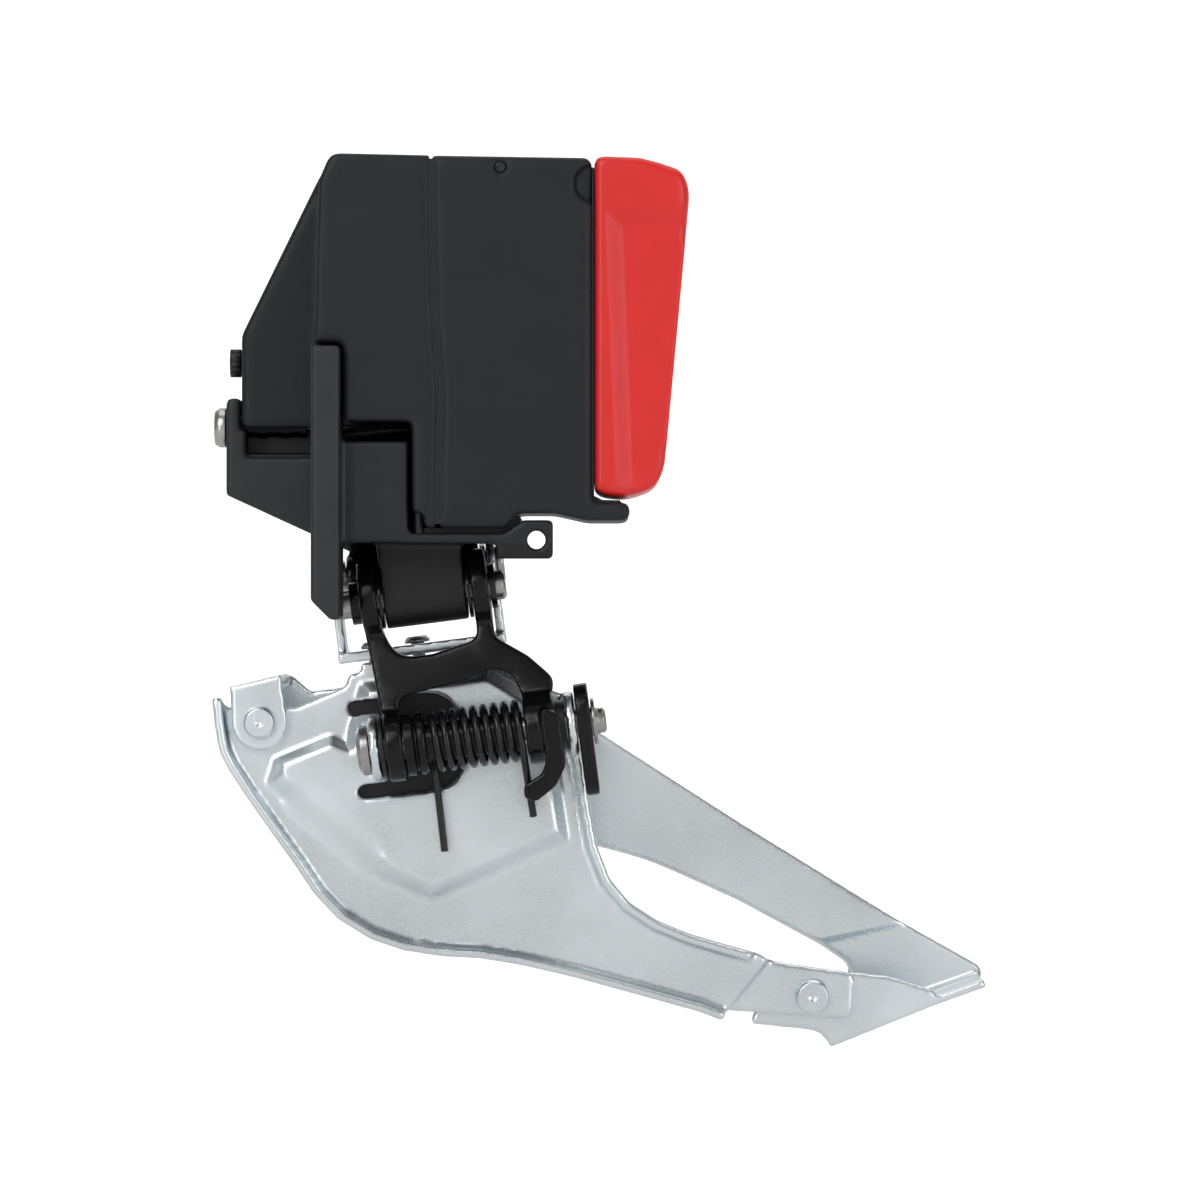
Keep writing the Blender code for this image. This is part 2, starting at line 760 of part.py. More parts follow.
def battery_cover():
    left = CASE_REAR + GAP
    body = prism(
        "battery_cover",
        "XZ",
        rounded(
            [
                (left, COVER_LOW + 0.5, 1.2),
                (left + 4.10, COVER_LOW, 3.0),
                (COVER_REAR_LOW - 1.1, COVER_LOW + 1.3, 2.5),
                (COVER_REAR_LOW, COVER_LOW + 4.2, 3.0),
                (COVER_REAR_TOP, COVER_TOP - 4.5, 2.5),
                (COVER_REAR_TOP - 1.0, COVER_TOP - 1.75, 1.2),
                (COVER_REAR_TOP - 3.0, COVER_TOP - 1.2, 2.0),
                (left + 6.10, COVER_TOP - 0.25, 4.0),
                (left, COVER_TOP, 1.1),
            ]
        ),
        COVER_NEAR,
        COVER_FAR,
        edge=COVER_EDGE,
    )
    scoop = rounded(
        [
            (left + 3.6, COVER_LOW + 1.6, 0.8),
            (COVER_REAR_LOW + 9, COVER_LOW + 1.6),
            (COVER_REAR_LOW + 9, COVER_TOP - 9.6),
            (left + 3.0, COVER_TOP - 9.6, 2.2),
        ]
    )
    near = prism("near", "XZ", scoop, COVER_NEAR - 3, COVER_NEAR + SCOOP_DEPTH)
    far = prism("far", "XZ", scoop, COVER_FAR - SCOOP_DEPTH, COVER_FAR + 3)
    hollow = box(
        "hollow",
        (left - 5, COVER_NEAR + COVER_WALL + SCOOP_DEPTH, COVER_LOW + 3.2),
        (COVER_REAR_LOW - COVER_WALL - 1.0, COVER_FAR - COVER_WALL - SCOOP_DEPTH, COVER_TOP - 5.4),
    )
    groove = prism(
        "groove",
        "XZ",
        [
            (left - 5, LATCH_HINGE_Z - 1.6),
            (COVER_REAR_TOP - 5.0, LATCH_HINGE_Z - 1.6),
            (COVER_REAR_TOP + 4, LATCH_HINGE_Z - 3.0),
            (COVER_REAR_TOP + 4, COVER_TOP + 5),
            (left - 5, COVER_TOP + 5),
        ],
        CASE_MID - LATCH_HALF_WIDTH - GAP,
        CASE_MID + LATCH_HALF_WIDTH + GAP,
    )
    return cut(body, near, far, hollow, groove)


def housing_seal():
    """The thin rubber ring between the casing and the battery cover, open at the latch."""
    low = LIP_TOP + 0.6
    high = CASE_TOP - 1.7
    near = CASE_NEAR + CASE_EDGE + 0.1
    far = CASE_FAR - CASE_EDGE - 0.1
    ring = prism(
        "housing_seal",
        "YZ",
        rounded([(near, low, 1.0), (far, low, 1.0), (far, high, 1.0), (near, high, 1.0)]),
        CASE_REAR + SEAL_CLEAR,
        CASE_REAR + GAP - SEAL_CLEAR,
    )
    inner = box(
        "inner",
        (CASE_REAR - 1, near + SEAL_WIDTH, low + SEAL_WIDTH),
        (CASE_REAR + 2, far - SEAL_WIDTH, high - SEAL_WIDTH),
    )
    notch = box(
        "notch",
        (CASE_REAR - 1, CASE_MID - LATCH_HALF_WIDTH - GAP, LATCH_HINGE_Z - 1.8),
        (CASE_REAR + 2, CASE_MID + LATCH_HALF_WIDTH + GAP, CASE_TOP + 5),
    )
    return cut(ring, inner, notch)


def battery_latch():
    low = LATCH_HINGE_Z - 1.25
    arm = prism(
        "battery_latch",
        "XZ",
        rounded(
            [
                (LATCH_HINGE_X, low + 0.05),
                (COVER_REAR_TOP - 4.8, low + 0.05, 2.0),
                (COVER_REAR_TOP - 0.9, low - 0.5, 0.5),
                (COVER_REAR_TOP - 0.9, low + 1.7, 0.5),
                (COVER_REAR_TOP - 4.8, low + 2.2, 2.0),
                (LATCH_HINGE_X, low + 2.4),
            ]
        ),
        CASE_MID - LATCH_HALF_WIDTH,
        CASE_MID + LATCH_HALF_WIDTH,
        edge=0.3,
    )
    knuckle = rod(
        "knuckle",
        "XZ",
        (LATCH_HINGE_X, LATCH_HINGE_Z),
        CASE_MID - LATCH_HALF_WIDTH + 0.02,
        CASE_MID + LATCH_HALF_WIDTH - 0.02,
        1.3,
        sides=20,
    )
    bore = rod(
        "bore",
        "XZ",
        (LATCH_HINGE_X, LATCH_HINGE_Z),
        CASE_MID - 9,
        CASE_MID + 9,
        LATCH_PIN_RADIUS + 0.1,
        sides=16,
    )
    return cut(join(arm, knuckle), bore)


def inner_link():
    ear_top = UPPER_EAR_RADIUS + 0.6
    ear_low = -LINK_DROP - LOWER_EAR_RADIUS - 0.6
    front = prism(
        "inner_link",
        "XZ",
        rounded(
            [
                (EAR_B, ear_top),
                (EAR_B, link_point(6.2, -18.3)[1], 4.0),
                (FOOT_A, -LINK_DROP + 3.6, 4.0),
                (FOOT_A, ear_low),
                (FOOT_B, ear_low),
                (FOOT_B, link_point(12.5, -28.6)[1], 1.5),
                (*link_point(20.2, -26.4), 4.0),
                (*link_point(23.7, -24.8), 3.0),
                (*link_point(26.4, -25.3), 2.0),
                (FOOT_C, -LINK_DROP + 4.9, 2.0),
                (FOOT_C, ear_low),
                (FOOT_D, ear_low),
                (FOOT_D, -LINK_DROP + 4.4, 2.0),
                (*link_point(32.3, -26.2), 2.0),
                (*link_point(28.7, -23.1), 3.0),
                (EAR_D, link_point(24.0, -20.6)[1], 1.2),
                (EAR_D, ear_top),
                (EAR_C, ear_top),
                (EAR_C, link_point(21.4, -20.9)[1], 1.5),
                (*link_point(15.7, -22.9), 4.0),
                (*link_point(11.0, -23.4), 3.0),
                (EAR_A, link_point(8.5, -19.4)[1], 4.0),
                (EAR_A, ear_top),
            ]
        ),
        -30,
        30,
        LINK,
    )
    upper = rod("upper", "YZ", UPPER_IN, EAR_B - 3, EAR_D + 3, UPPER_EAR_RADIUS, LINK, 28)
    lower = rod("lower", "YZ", LOWER_IN, EAR_B - 3, FOOT_D + 3, LOWER_EAR_RADIUS, LINK, 28)
    reach = math.hypot(LINK_LEAN, LINK_DROP)
    side = Vector((LINK_DROP, LINK_LEAN)) / reach * LINK_BAR / 2
    bar = prism(
        "bar",
        "YZ",
        [
            (side.x, side.y),
            (LOWER_IN[0] + side.x, LOWER_IN[1] + side.y),
            (LOWER_IN[0] - side.x, LOWER_IN[1] - side.y),
            (-side.x, -side.y),
        ],
        EAR_B - 3.1,
        FOOT_D + 3.1,
        LINK,
    )
    form = join(upper, lower, bar)
    body = combine(front, [form], "INTERSECT")
    hook = prism(
        "hook",
        "XZ",
        rounded(
            [
                (FOOT_D - 1.8, -LINK_DROP + 3.0, 0.6),
                (FOOT_D + 0.75, -LINK_DROP + 1.6, 0.6),
                (FOOT_D + 0.75, -LINK_DROP - 5.2, 1.5),
                (FOOT_D - 0.9, -LINK_DROP - 7.8, 1.5),
                (FOOT_D - 3.8, -LINK_DROP - 9.6, 0.5),
                (FOOT_D - 5.4, -LINK_DROP - 8.9, 0.5),
                (FOOT_D - 5.2, -LINK_DROP - 7.2, 0.4),
                (FOOT_D - 2.6, -LINK_DROP - 6.0, 1.0),
                (FOOT_D - 1.8, -LINK_DROP - 4.2, 1.0),
            ]
        ),
        LINK_LEAN - LOWER_EAR_RADIUS - 0.6,
        LINK_LEAN - LOWER_EAR_RADIUS + 1.2,
        LINK,
    )
    body = join(body, hook)
    upper_bore = rod("upper_bore", "YZ", UPPER_IN, -40, 40, BORE, LINK)
    lower_bore = rod("lower_bore", "YZ", LOWER_IN, -40, 40, BORE, LINK)
    return cut(body, upper_bore, lower_bore)


def outer_link():
    hub = rod("outer_link", "YZ", UPPER_OUT, OUTER_FRONT, OUTER_REAR, OUTER_HUB_RADIUS, LINK, 28)
    foot = rod(
        "foot", "YZ", LOWER_OUT, OUTER_FRONT, OUTER_REAR, OUTER_FOOT_RADIUS, LINK, 28
    )
    reach = math.hypot(LINK_LEAN, LINK_DROP)
    side = Vector((LINK_DROP, LINK_LEAN)) / reach
    web = prism(
        "web",
        "YZ",
        [
            (UPPER_OUT[0] + side.x * 3.7, UPPER_OUT[1] + side.y * 3.7),
            (LOWER_OUT[0] + side.x * 2.9, LOWER_OUT[1] + side.y * 2.9),
            (LOWER_OUT[0] - side.x * 1.2, LOWER_OUT[1] - side.y * 1.2),
            (UPPER_OUT[0] - side.x * 1.2, UPPER_OUT[1] - side.y * 1.2),
        ],
        OUTER_FRONT + 0.6,
        OUTER_REAR - 0.6,
        LINK,
    )
    body = join(hub, foot, web)
    upper = rod("upper", "YZ", UPPER_OUT, -40, 40, BORE, LINK)
    lower = rod("lower", "YZ", LOWER_OUT, -40, 40, BORE, LINK)
    return cut(body, upper, lower)


def sector_gear():
    first = -4
    last = 5
    teeth = gear_outline(*UPPER_OUT, SECTOR_TEETH, GEAR_ANGLE, first, last)
    step = 360.0 / SECTOR_TEETH
    start = math.degrees(GEAR_ANGLE)
    inner = arc(
        *UPPER_OUT,
        OUTER_HUB_RADIUS + SKIN,
        start + (last - 0.6) * step,
        start + (first - 0.4) * step,
        10,
    )
    return prism(
        "sector_gear", "YZ", teeth + inner, SECTOR_U, SECTOR_U + SECTOR_THICK, LINK
    )


def reduction_gear():
    gap_phase = GEAR_ANGLE + math.pi + math.pi / PINION_TEETH
    pinion = prism(
        "reduction_gear",
        "YZ",
        gear_outline(*GEAR_AT, PINION_TEETH, gap_phase),
        SECTOR_U,
        WHEEL_U + 0.3,
        LINK,
    )
    wheel = prism(
        "wheel",
        "YZ",
        gear_outline(*GEAR_AT, WHEEL_TEETH, MOTOR_ANGLE),
        WHEEL_U,
        WHEEL_U + WHEEL_THICK,
        LINK,
    )
    bore = rod("bore", "YZ", GEAR_AT, -40, 40, SHAFT_RADIUS + 0.1, LINK, 16)
    return cut(join(pinion, wheel), bore)


def motor_pinion():
    gap_phase = MOTOR_ANGLE + math.pi + math.pi / PINION_TEETH
    teeth = prism(
        "motor_pinion",
        "YZ",
        gear_outline(*MOTOR_AT, PINION_TEETH, gap_phase),
        WHEEL_U,
        WHEEL_U + WHEEL_THICK,
        LINK,
    )
    shaft = rod(
        "shaft", "YZ", MOTOR_AT, WHEEL_U - 0.5, PLATE_U + PLATE_THICK + 0.2, 0.9, LINK, 16
    )
    return join(teeth, shaft)


def gear_plate():
    low = UPPER_OUT[1] + OUTER_HUB_RADIUS + 4.2
    plate = box(
        "gear_plate",
        (PLATE_U, -7.5, low),
        (PLATE_U + PLATE_THICK, 12.0, MOTOR_AT[1] + MOTOR_RADIUS + 5),
        LINK,
    )
    shaft = rod("shaft", "YZ", GEAR_AT, -9, 40, SHAFT_RADIUS + 0.12, LINK, 16)
    motor = rod("motor", "YZ", MOTOR_AT, -9, 40, 1.15, LINK, 16)
    return cut(plate, shaft, motor)


def drive_motor():
    start = PLATE_U + PLATE_THICK + 0.25
    can = turned(
        "drive_motor",
        "YZ",
        MOTOR_AT,
        [
            (0, start + MOTOR_LENGTH + 1.0),
            (1.6, start + MOTOR_LENGTH + 1.0),
            (1.6, start + MOTOR_LENGTH),
            (MOTOR_RADIUS - 0.6, start + MOTOR_LENGTH),
            (MOTOR_RADIUS, start + MOTOR_LENGTH - 0.6),
            (MOTOR_RADIUS, start + 0.4),
            (MOTOR_RADIUS - 0.4, start),
            (0, start),
        ],
        LINK,
    )
    return can


def spring_sleeve():
    return cut(
        turned(
            "spring_sleeve",
            "YZ",
            LOWER_IN,
            [
                (0, COIL_B - SKIN),
                (2.75, COIL_B - SKIN),
                (2.75, COIL_A - 0.1),
                (4.1, COIL_A - 0.1),
                (4.3, COIL_A - 0.4),
                (4.3, COIL_A - 1.1),
                (3.7, COIL_A - 1.3),
                (3.7, COIL_A - 1.6),
                (4.3, COIL_A - 1.8),
                (4.3, FOOT_B + SKIN),
                (0, FOOT_B + SKIN),
            ],
            LINK,
        ),
        rod("bore", "YZ", LOWER_IN, -40, 40, BORE, LINK),
    )


def coil_line():
    """Points of the wire in the link frame: front leg up, coils, rear leg down."""
    start = COIL_A + WIRE / 2 + 0.1
    end = COIL_B - WIRE / 2 - 0.1
    steps = round(COIL_TURNS * COIL_POINTS)
    points = [(start - 0.25, LOWER_IN[0] + COIL_RADIUS + 0.25, LOWER_IN[1] - 15.0)]
    points.append((start - 0.1, LOWER_IN[0] + COIL_RADIUS, LOWER_IN[1] - 2.2))
    for k in range(steps + 1):
        angle = 2 * math.pi * k / COIL_POINTS
        points.append(
            (
                start + (end - start) * k / steps,
                LOWER_IN[0] + COIL_RADIUS * math.cos(angle),
                LOWER_IN[1] + COIL_RADIUS * math.sin(angle),
            )
        )
    points.append((end + 0.1, LOWER_IN[0] - COIL_RADIUS, LOWER_IN[1] - 2.2))
    points.append((end + 0.35, LOWER_IN[0] - COIL_RADIUS + 1.8, LOWER_IN[1] - 11.6))
    return points


def torsion_spring():
    points = coil_line()
    curve = bpy.data.curves.new("torsion_spring", "CURVE")
    curve.dimensions = "3D"
    curve.bevel_depth = WIRE / 2 * MM
    curve.bevel_resolution = 1
    curve.use_fill_caps = True
    spline = curve.splines.new("POLY")
    spline.points.add(len(points) - 1)
    for point, place in zip(spline.points, points):
        point.co = (place[0] * MM, place[1] * MM, place[2] * MM, 1)
    body = bpy.data.objects.new("torsion_spring", curve)
    PARTS.objects.link(body)
    body.matrix_world = LINK
    gaps = [
        (Vector(points[a]) - Vector(points[b])).length - WIRE
        for a in range(len(points))
        for b in range(a + COIL_POINTS - 2, len(points))
    ]
    print("torsion_spring least gap to itself", round(min(gaps), 3), "mm")
    return baked(body)


def tongue(name, centre, radius, root, low, high):
    """A lug from a plate at y = root to a rounded end round a pivot, seen along u."""
    outline = [
        (root, centre[1] - radius),
        (root, centre[1] + radius),
        *arc(*centre, radius, 90, 270, 10),
    ]
    return prism(name, "YZ", outline, low, high, LINK)


def front_contour():
    """The rim of the inner plate from its front top corner along the bottom to the tail."""
    return [
        (-14.15, -28.9),
        (-13.7, -33.0),
        (-13.1, -36.2),
        (-12.0, -38.4),
        (-10.0, -41.5),
        (-6.8, -46.1),
        (-3.2, -51.1),
        (-0.3, -55.4),
        (2.95, -58.8),
        (7.3, -61.5),
        (11.7, -63.0),
        (16.8, -63.8),
        (22.2, -64.1),
        (27.7, -65.0),
        (35.0, -66.7),
        (44.1, -69.2),
        (52.0, -71.4),
        (55.0, -72.6),
    ]


def rear_contour():
    """The rim of the inner plate from its rear lug down to the tail."""
    top = LUG_D * math.cos(math.radians(TILT)) + PIVOT_X
    return [
        (top + 2.2, -28.9),
        (top + 4.1, -42.3),
        (top + 5.2, -48.7),
        (39.7, -53.5),
        (42.4, -56.7),
        (46.1, -59.1),
        (50.5, -60.9),
        (55.2, -62.3),
        (60.0, -63.6),
    ]


def cage_inner_plate():
    rim = front_contour()
    back = rear_contour()
    near = INNER_NEAR
    sheet = prism(
        "cage_inner_plate",
        "XZ",
        rim
        + [(55.4, -71.6), (61.2, -64.5)]
        + back[::-1]
        + [
            (30.0, -27.2),
            (24.6, -23.9),
            (23.0, -23.3),
            (4.4, -25.6),
            (3.7, -27.4),
            (-2.9, -30.2),
            (-12.0, -30.2),
        ],
        near,
        near + SHEET,
    )
    lip = prism("lip", "XZ", strip(rim, SHEET), near - RIM_HEIGHT, near + 0.5)
    top = Vector(back[0]).lerp(Vector(back[1]), 0.04)
    low = Vector(back[-1]).lerp(Vector(back[-2]), 0.2)
    hem_line = [tuple(low), *back[-2:0:-1], tuple(top)]
    hem = prism("hem", "XZ", strip(hem_line, SHEET), near - RIM_HEIGHT, near + 0.5)
    panel_line = [
        (-7.4, -40.7),
        (-6.1, -36.9),
        (2.0, -33.6),
        (3.8, -34.6),
        (5.6, -26.6),
        (23.6, -24.6),
        (31.6, -29.4),
        (34.4, -48.6),
        (31.0, -49.8),
        (15.6, -56.9),
        (7.9, -53.6),
    ]
    floor_line = [
        (-4.4, -39.5),
        (-4.7, -38.0),
        (1.9, -35.3),
        (4.9, -36.6),
        (7.2, -28.2),
        (22.9, -26.4),
        (29.9, -30.6),
        (32.5, -47.0),
        (30.5, -47.7),
        (15.9, -54.3),
        (10.4, -51.7),
    ]
    face = near - PANEL_RISE
    panel = pan("panel", panel_line, floor_line, face, near + 0.2, near + SHEET + PANEL_RISE)
    body = join(sheet, panel)
    behind = box("behind", (-40, near + SHEET, -120), (120, near + 20, 60))
    body = cut(body, behind)
    hollow = pan(
        "hollow",
        panel_line,
        floor_line,
        face + SHEET,
        near + SHEET + 0.2,
        near + SHEET + PANEL_RISE,
    )
    body = cut(body, hollow)
    root = near - PIVOT_Y
    tail = prism(
        "tail",
        "XZ",
        rounded(
            [
                (55.6, -71.4),
                (72.6, -72.6, 1.2),
                (73.1, -66.3, 1.2),
                (63.0, -64.9),
                (59.0, -63.8),
            ]
        ),
        near + TAIL_SHIFT,
        near + TAIL_SHIFT + SHEET,
    )
    flange = box(
        "flange",
        (EAR_B - 1.2, root + 0.05, BRIDGE_TOP - BRIDGE_THICK - GAP - SHEET),
        (EAR_D - 0.6, root + 5.2, BRIDGE_TOP - BRIDGE_THICK - GAP),
        LINK,
    )
    front_lug = tongue("front_lug", LOWER_IN, 4.3, root + 0.6, LUG_FRONT, LUG_END)
    rear_lug = tongue("rear_lug", LOWER_IN, 4.3, root + 0.6, LUG_C, LUG_D)
    window = prism(
        "window",
        "XZ",
        rounded(
            [
                (LUG_FRONT - 2.6, -LINK_DROP + 6.6, 0.7),
                (LUG_FRONT - 2.6, -LINK_DROP + 4.75, 0.7),
                (LUG_END + 0.5, -LINK_DROP + 4.75, 0.3),
                (LUG_END + 0.5, -LINK_DROP - 4.75, 0.3),
                (LUG_FRONT - 2.6, -LINK_DROP - 4.75, 0.7),
                (LUG_FRONT - 2.6, -LINK_DROP - 6.6, 0.7),
                (COIL_A + 3.2, -LINK_DROP - 6.6, 4.0),
                (COIL_A + 5.6, -LINK_DROP, 6.0),
                (COIL_A + 3.2, -LINK_DROP + 6.6, 4.0),
            ]
        ),
        root - PANEL_RISE - 0.5,
        root + SHEET + 0.8,
        LINK,
    )
    body = cut(body, window)
    body = join(body, lip, hem, tail, flange, front_lug, rear_lug)
    bore = rod("bore", "YZ", LOWER_IN, -40, 40, BORE, LINK)
    front_hole = rod("front_hole", "XZ", FRONT_RIVET, near - 5, near + 5, 1.5 + RUN, sides=20)
    tail_hole = rod("tail_hole", "XZ", TAIL_RIVET, near - 5, near + 5, 1.5 + RUN, sides=20)
    rivet = rod(
        "rivet", "XY", BRIDGE_RIVET_A, BRIDGE_TOP - 9, BRIDGE_TOP + 1, 0.9 + RUN, LINK, 16
    )
    return cut(body, bore, front_hole, tail_hole, rivet)


FRONT_RIVET = (-7.75, -32.2)
TAIL_RIVET = (67.3, -69.5)
BRIDGE_RIVET_A = (-8.0, 5.7)
BRIDGE_RIVET_B = (-2.2, 11.0)


def tail_line():
    """The fold under the tail of the outer plate."""
    return [(69.7, -76.55), (84.0, -70.8), (91.0, -68.3)]


def cage_outer_plate():
    near = OUTER_NEAR
    fold_near = INNER_NEAR + TAIL_SHIFT + SHEET + GAP
    clip_near = INNER_NEAR - GAP - SHEET
    tail = tail_line()
    sheet = prism(
        "cage_outer_plate",
        "XZ",
        rounded(
            [
                (-11.8, -27.5),
                (-4.9, -25.85, 0.5),
                (-4.1, -26.0, 0.5),
                (-1.7, -28.2, 1.0),
                (3.1, -27.6, 1.0),
                (5.0, -26.0, 1.0),
                (22.4, -23.8, 1.0),
                (39.1, -34.4),
                (57.6, -46.3),
                (78.7, -59.3),
                (90.6, -66.0, 1.0),
                (92.0, -68.4, 1.0),
                tail[2],
                tail[1],
                tail[0],
                (67.4, -74.0),
                (73.3, -66.4, 1.5),
                (68.9, -63.3, 20.0),
                (57.6, -57.2, 40.0),
                (45.0, -51.5, 40.0),
                (38.1, -49.7, 20.0),
                (20.0, -46.6, 30.0),
                (2.0, -46.0, 30.0),
                (-6.0, -45.0, 6.0),
                (-10.4, -39.5, 8.0),
                (-12.0, -34.0, 6.0),
            ][::-1]
        ),
        near,
        near + SHEET,
    )
    floor = prism("floor", "XZ", strip(tail, SHEET), fold_near, near + 0.5)
    fold = prism(
        "fold",
        "XZ",
        rounded(
            [
                (58.7, -73.3, 0.5),
                (67.2, -74.2, 1.0),
                (69.0, -74.9, 0.8),
                tail[0],
                tail[1],
                (84.0, -68.8, 0.8),
                (77.6, -66.8),
                (73.2, -66.35),
                (62.0, -65.3),
            ]
        ),
        fold_near,
        fold_near + SHEET,
    )
    top = prism(
        "top",
        "XZ",
        strip([(-4.92, -25.75), (-11.8, -27.4)], SHEET),
        clip_near + 0.05,
        near + 0.5,
    )
    clip = prism(
        "clip",
        "XZ",
        [
            (-11.8, -27.45),
            *arc(*FRONT_RIVET, 3.8, 180, 360, 12),
            (-4.95, -25.8),
        ],
        clip_near,
        clip_near + SHEET,
    )
    root = near - PIVOT_Y
    shelf_top = BRIDGE_TOP - BRIDGE_THICK - GAP
    flange = box(
        "flange",
        (EAR_B - 1.2, BRIDGE_FAR - 4.6, shelf_top - SHEET),
        (EAR_C + 0.8, root + 0.4, shelf_top),
        LINK,
    )
    wall = box(
        "wall",
        (EAR_B - 1.15, root + 0.02, shelf_top - 4.0),
        (EAR_C + 0.75, root + SHEET - 0.02, shelf_top - 0.02),
        LINK,
    )
    body = join(sheet, floor, fold, top, clip, wall, flange)
    front_hole = rod("front_hole", "XZ", FRONT_RIVET, clip_near - 2, near - 5, 1.5 + RUN, sides=20)
    tail_hole = rod("tail_hole", "XZ", TAIL_RIVET, fold_near - 2, near - 5, 1.5 + RUN, sides=20)
    rivet = rod(
        "rivet", "XY", BRIDGE_RIVET_B, BRIDGE_TOP - 9, BRIDGE_TOP + 1, 0.9 + RUN, LINK, 16
    )
    return cut(body, front_hole, tail_hole, rivet)


def cage_bridge():
    root = INNER_NEAR - PIVOT_Y
    low = BRIDGE_TOP - BRIDGE_THICK
    plate = box(
        "cage_bridge",
        (BRIDGE_FRONT, root + 0.2, low),
        (BRIDGE_REAR, BRIDGE_FAR, BRIDGE_TOP),
        LINK,
    )
    ear = [
        (LOWER_OUT[0] - 3.4, low + 0.02),
        (LOWER_OUT[0] + 3.4, low + 0.02),
        *arc(*LOWER_OUT, 3.4, 0, 180, 10),
    ]
    front = prism("front", "YZ", ear, BRIDGE_FRONT + 0.02, BRIDGE_FRONT + SHEET, LINK)
    rear = prism("rear", "YZ", ear, BRIDGE_REAR - SHEET, BRIDGE_REAR - 0.02, LINK)
    body = join(plate, front, rear)
    bore = rod("bore", "YZ", LOWER_OUT, -40, 40, BORE, LINK)
    rivet_a = rod("rivet_a", "XY", BRIDGE_RIVET_A, low - 2, BRIDGE_TOP + 2, 0.9 + RUN, LINK, 16)
    rivet_b = rod("rivet_b", "XY", BRIDGE_RIVET_B, low - 2, BRIDGE_TOP + 2, 0.9 + RUN, LINK, 16)
    return cut(body, bore, rivet_a, rivet_b)


BRIDGE_FRONT = OUTER_FRONT - 1.3 - SHEET
BRIDGE_REAR = OUTER_REAR + 1.0 + SHEET


def washer(name, centre, low, high, outer, inner):
    return prism(
        name,
        "YZ",
        circle(*centre, outer, 24),
        low,
        high,
        LINK,
        holes=[circle(*centre, inner, 24)],
    )


def rivet(name, plane, place, high, low, shank, head, cap, foot, frame=WORLD):
    """A domed head at the low end, a shank and a flat upset foot at the high end."""
    return turned(
        name,
        plane,
        place,
        [
            (0, high + foot),
            (shank + 0.7, high + foot),
            (shank + 0.7, high),
            (shank, high),
            (shank, low),
            (head, low),
            (head, low - cap * 0.5),
            (head * 0.84, low - cap),
            (head * 0.26, low - cap),
            (0, low - cap * 0.6),
        ],
        frame,
    )


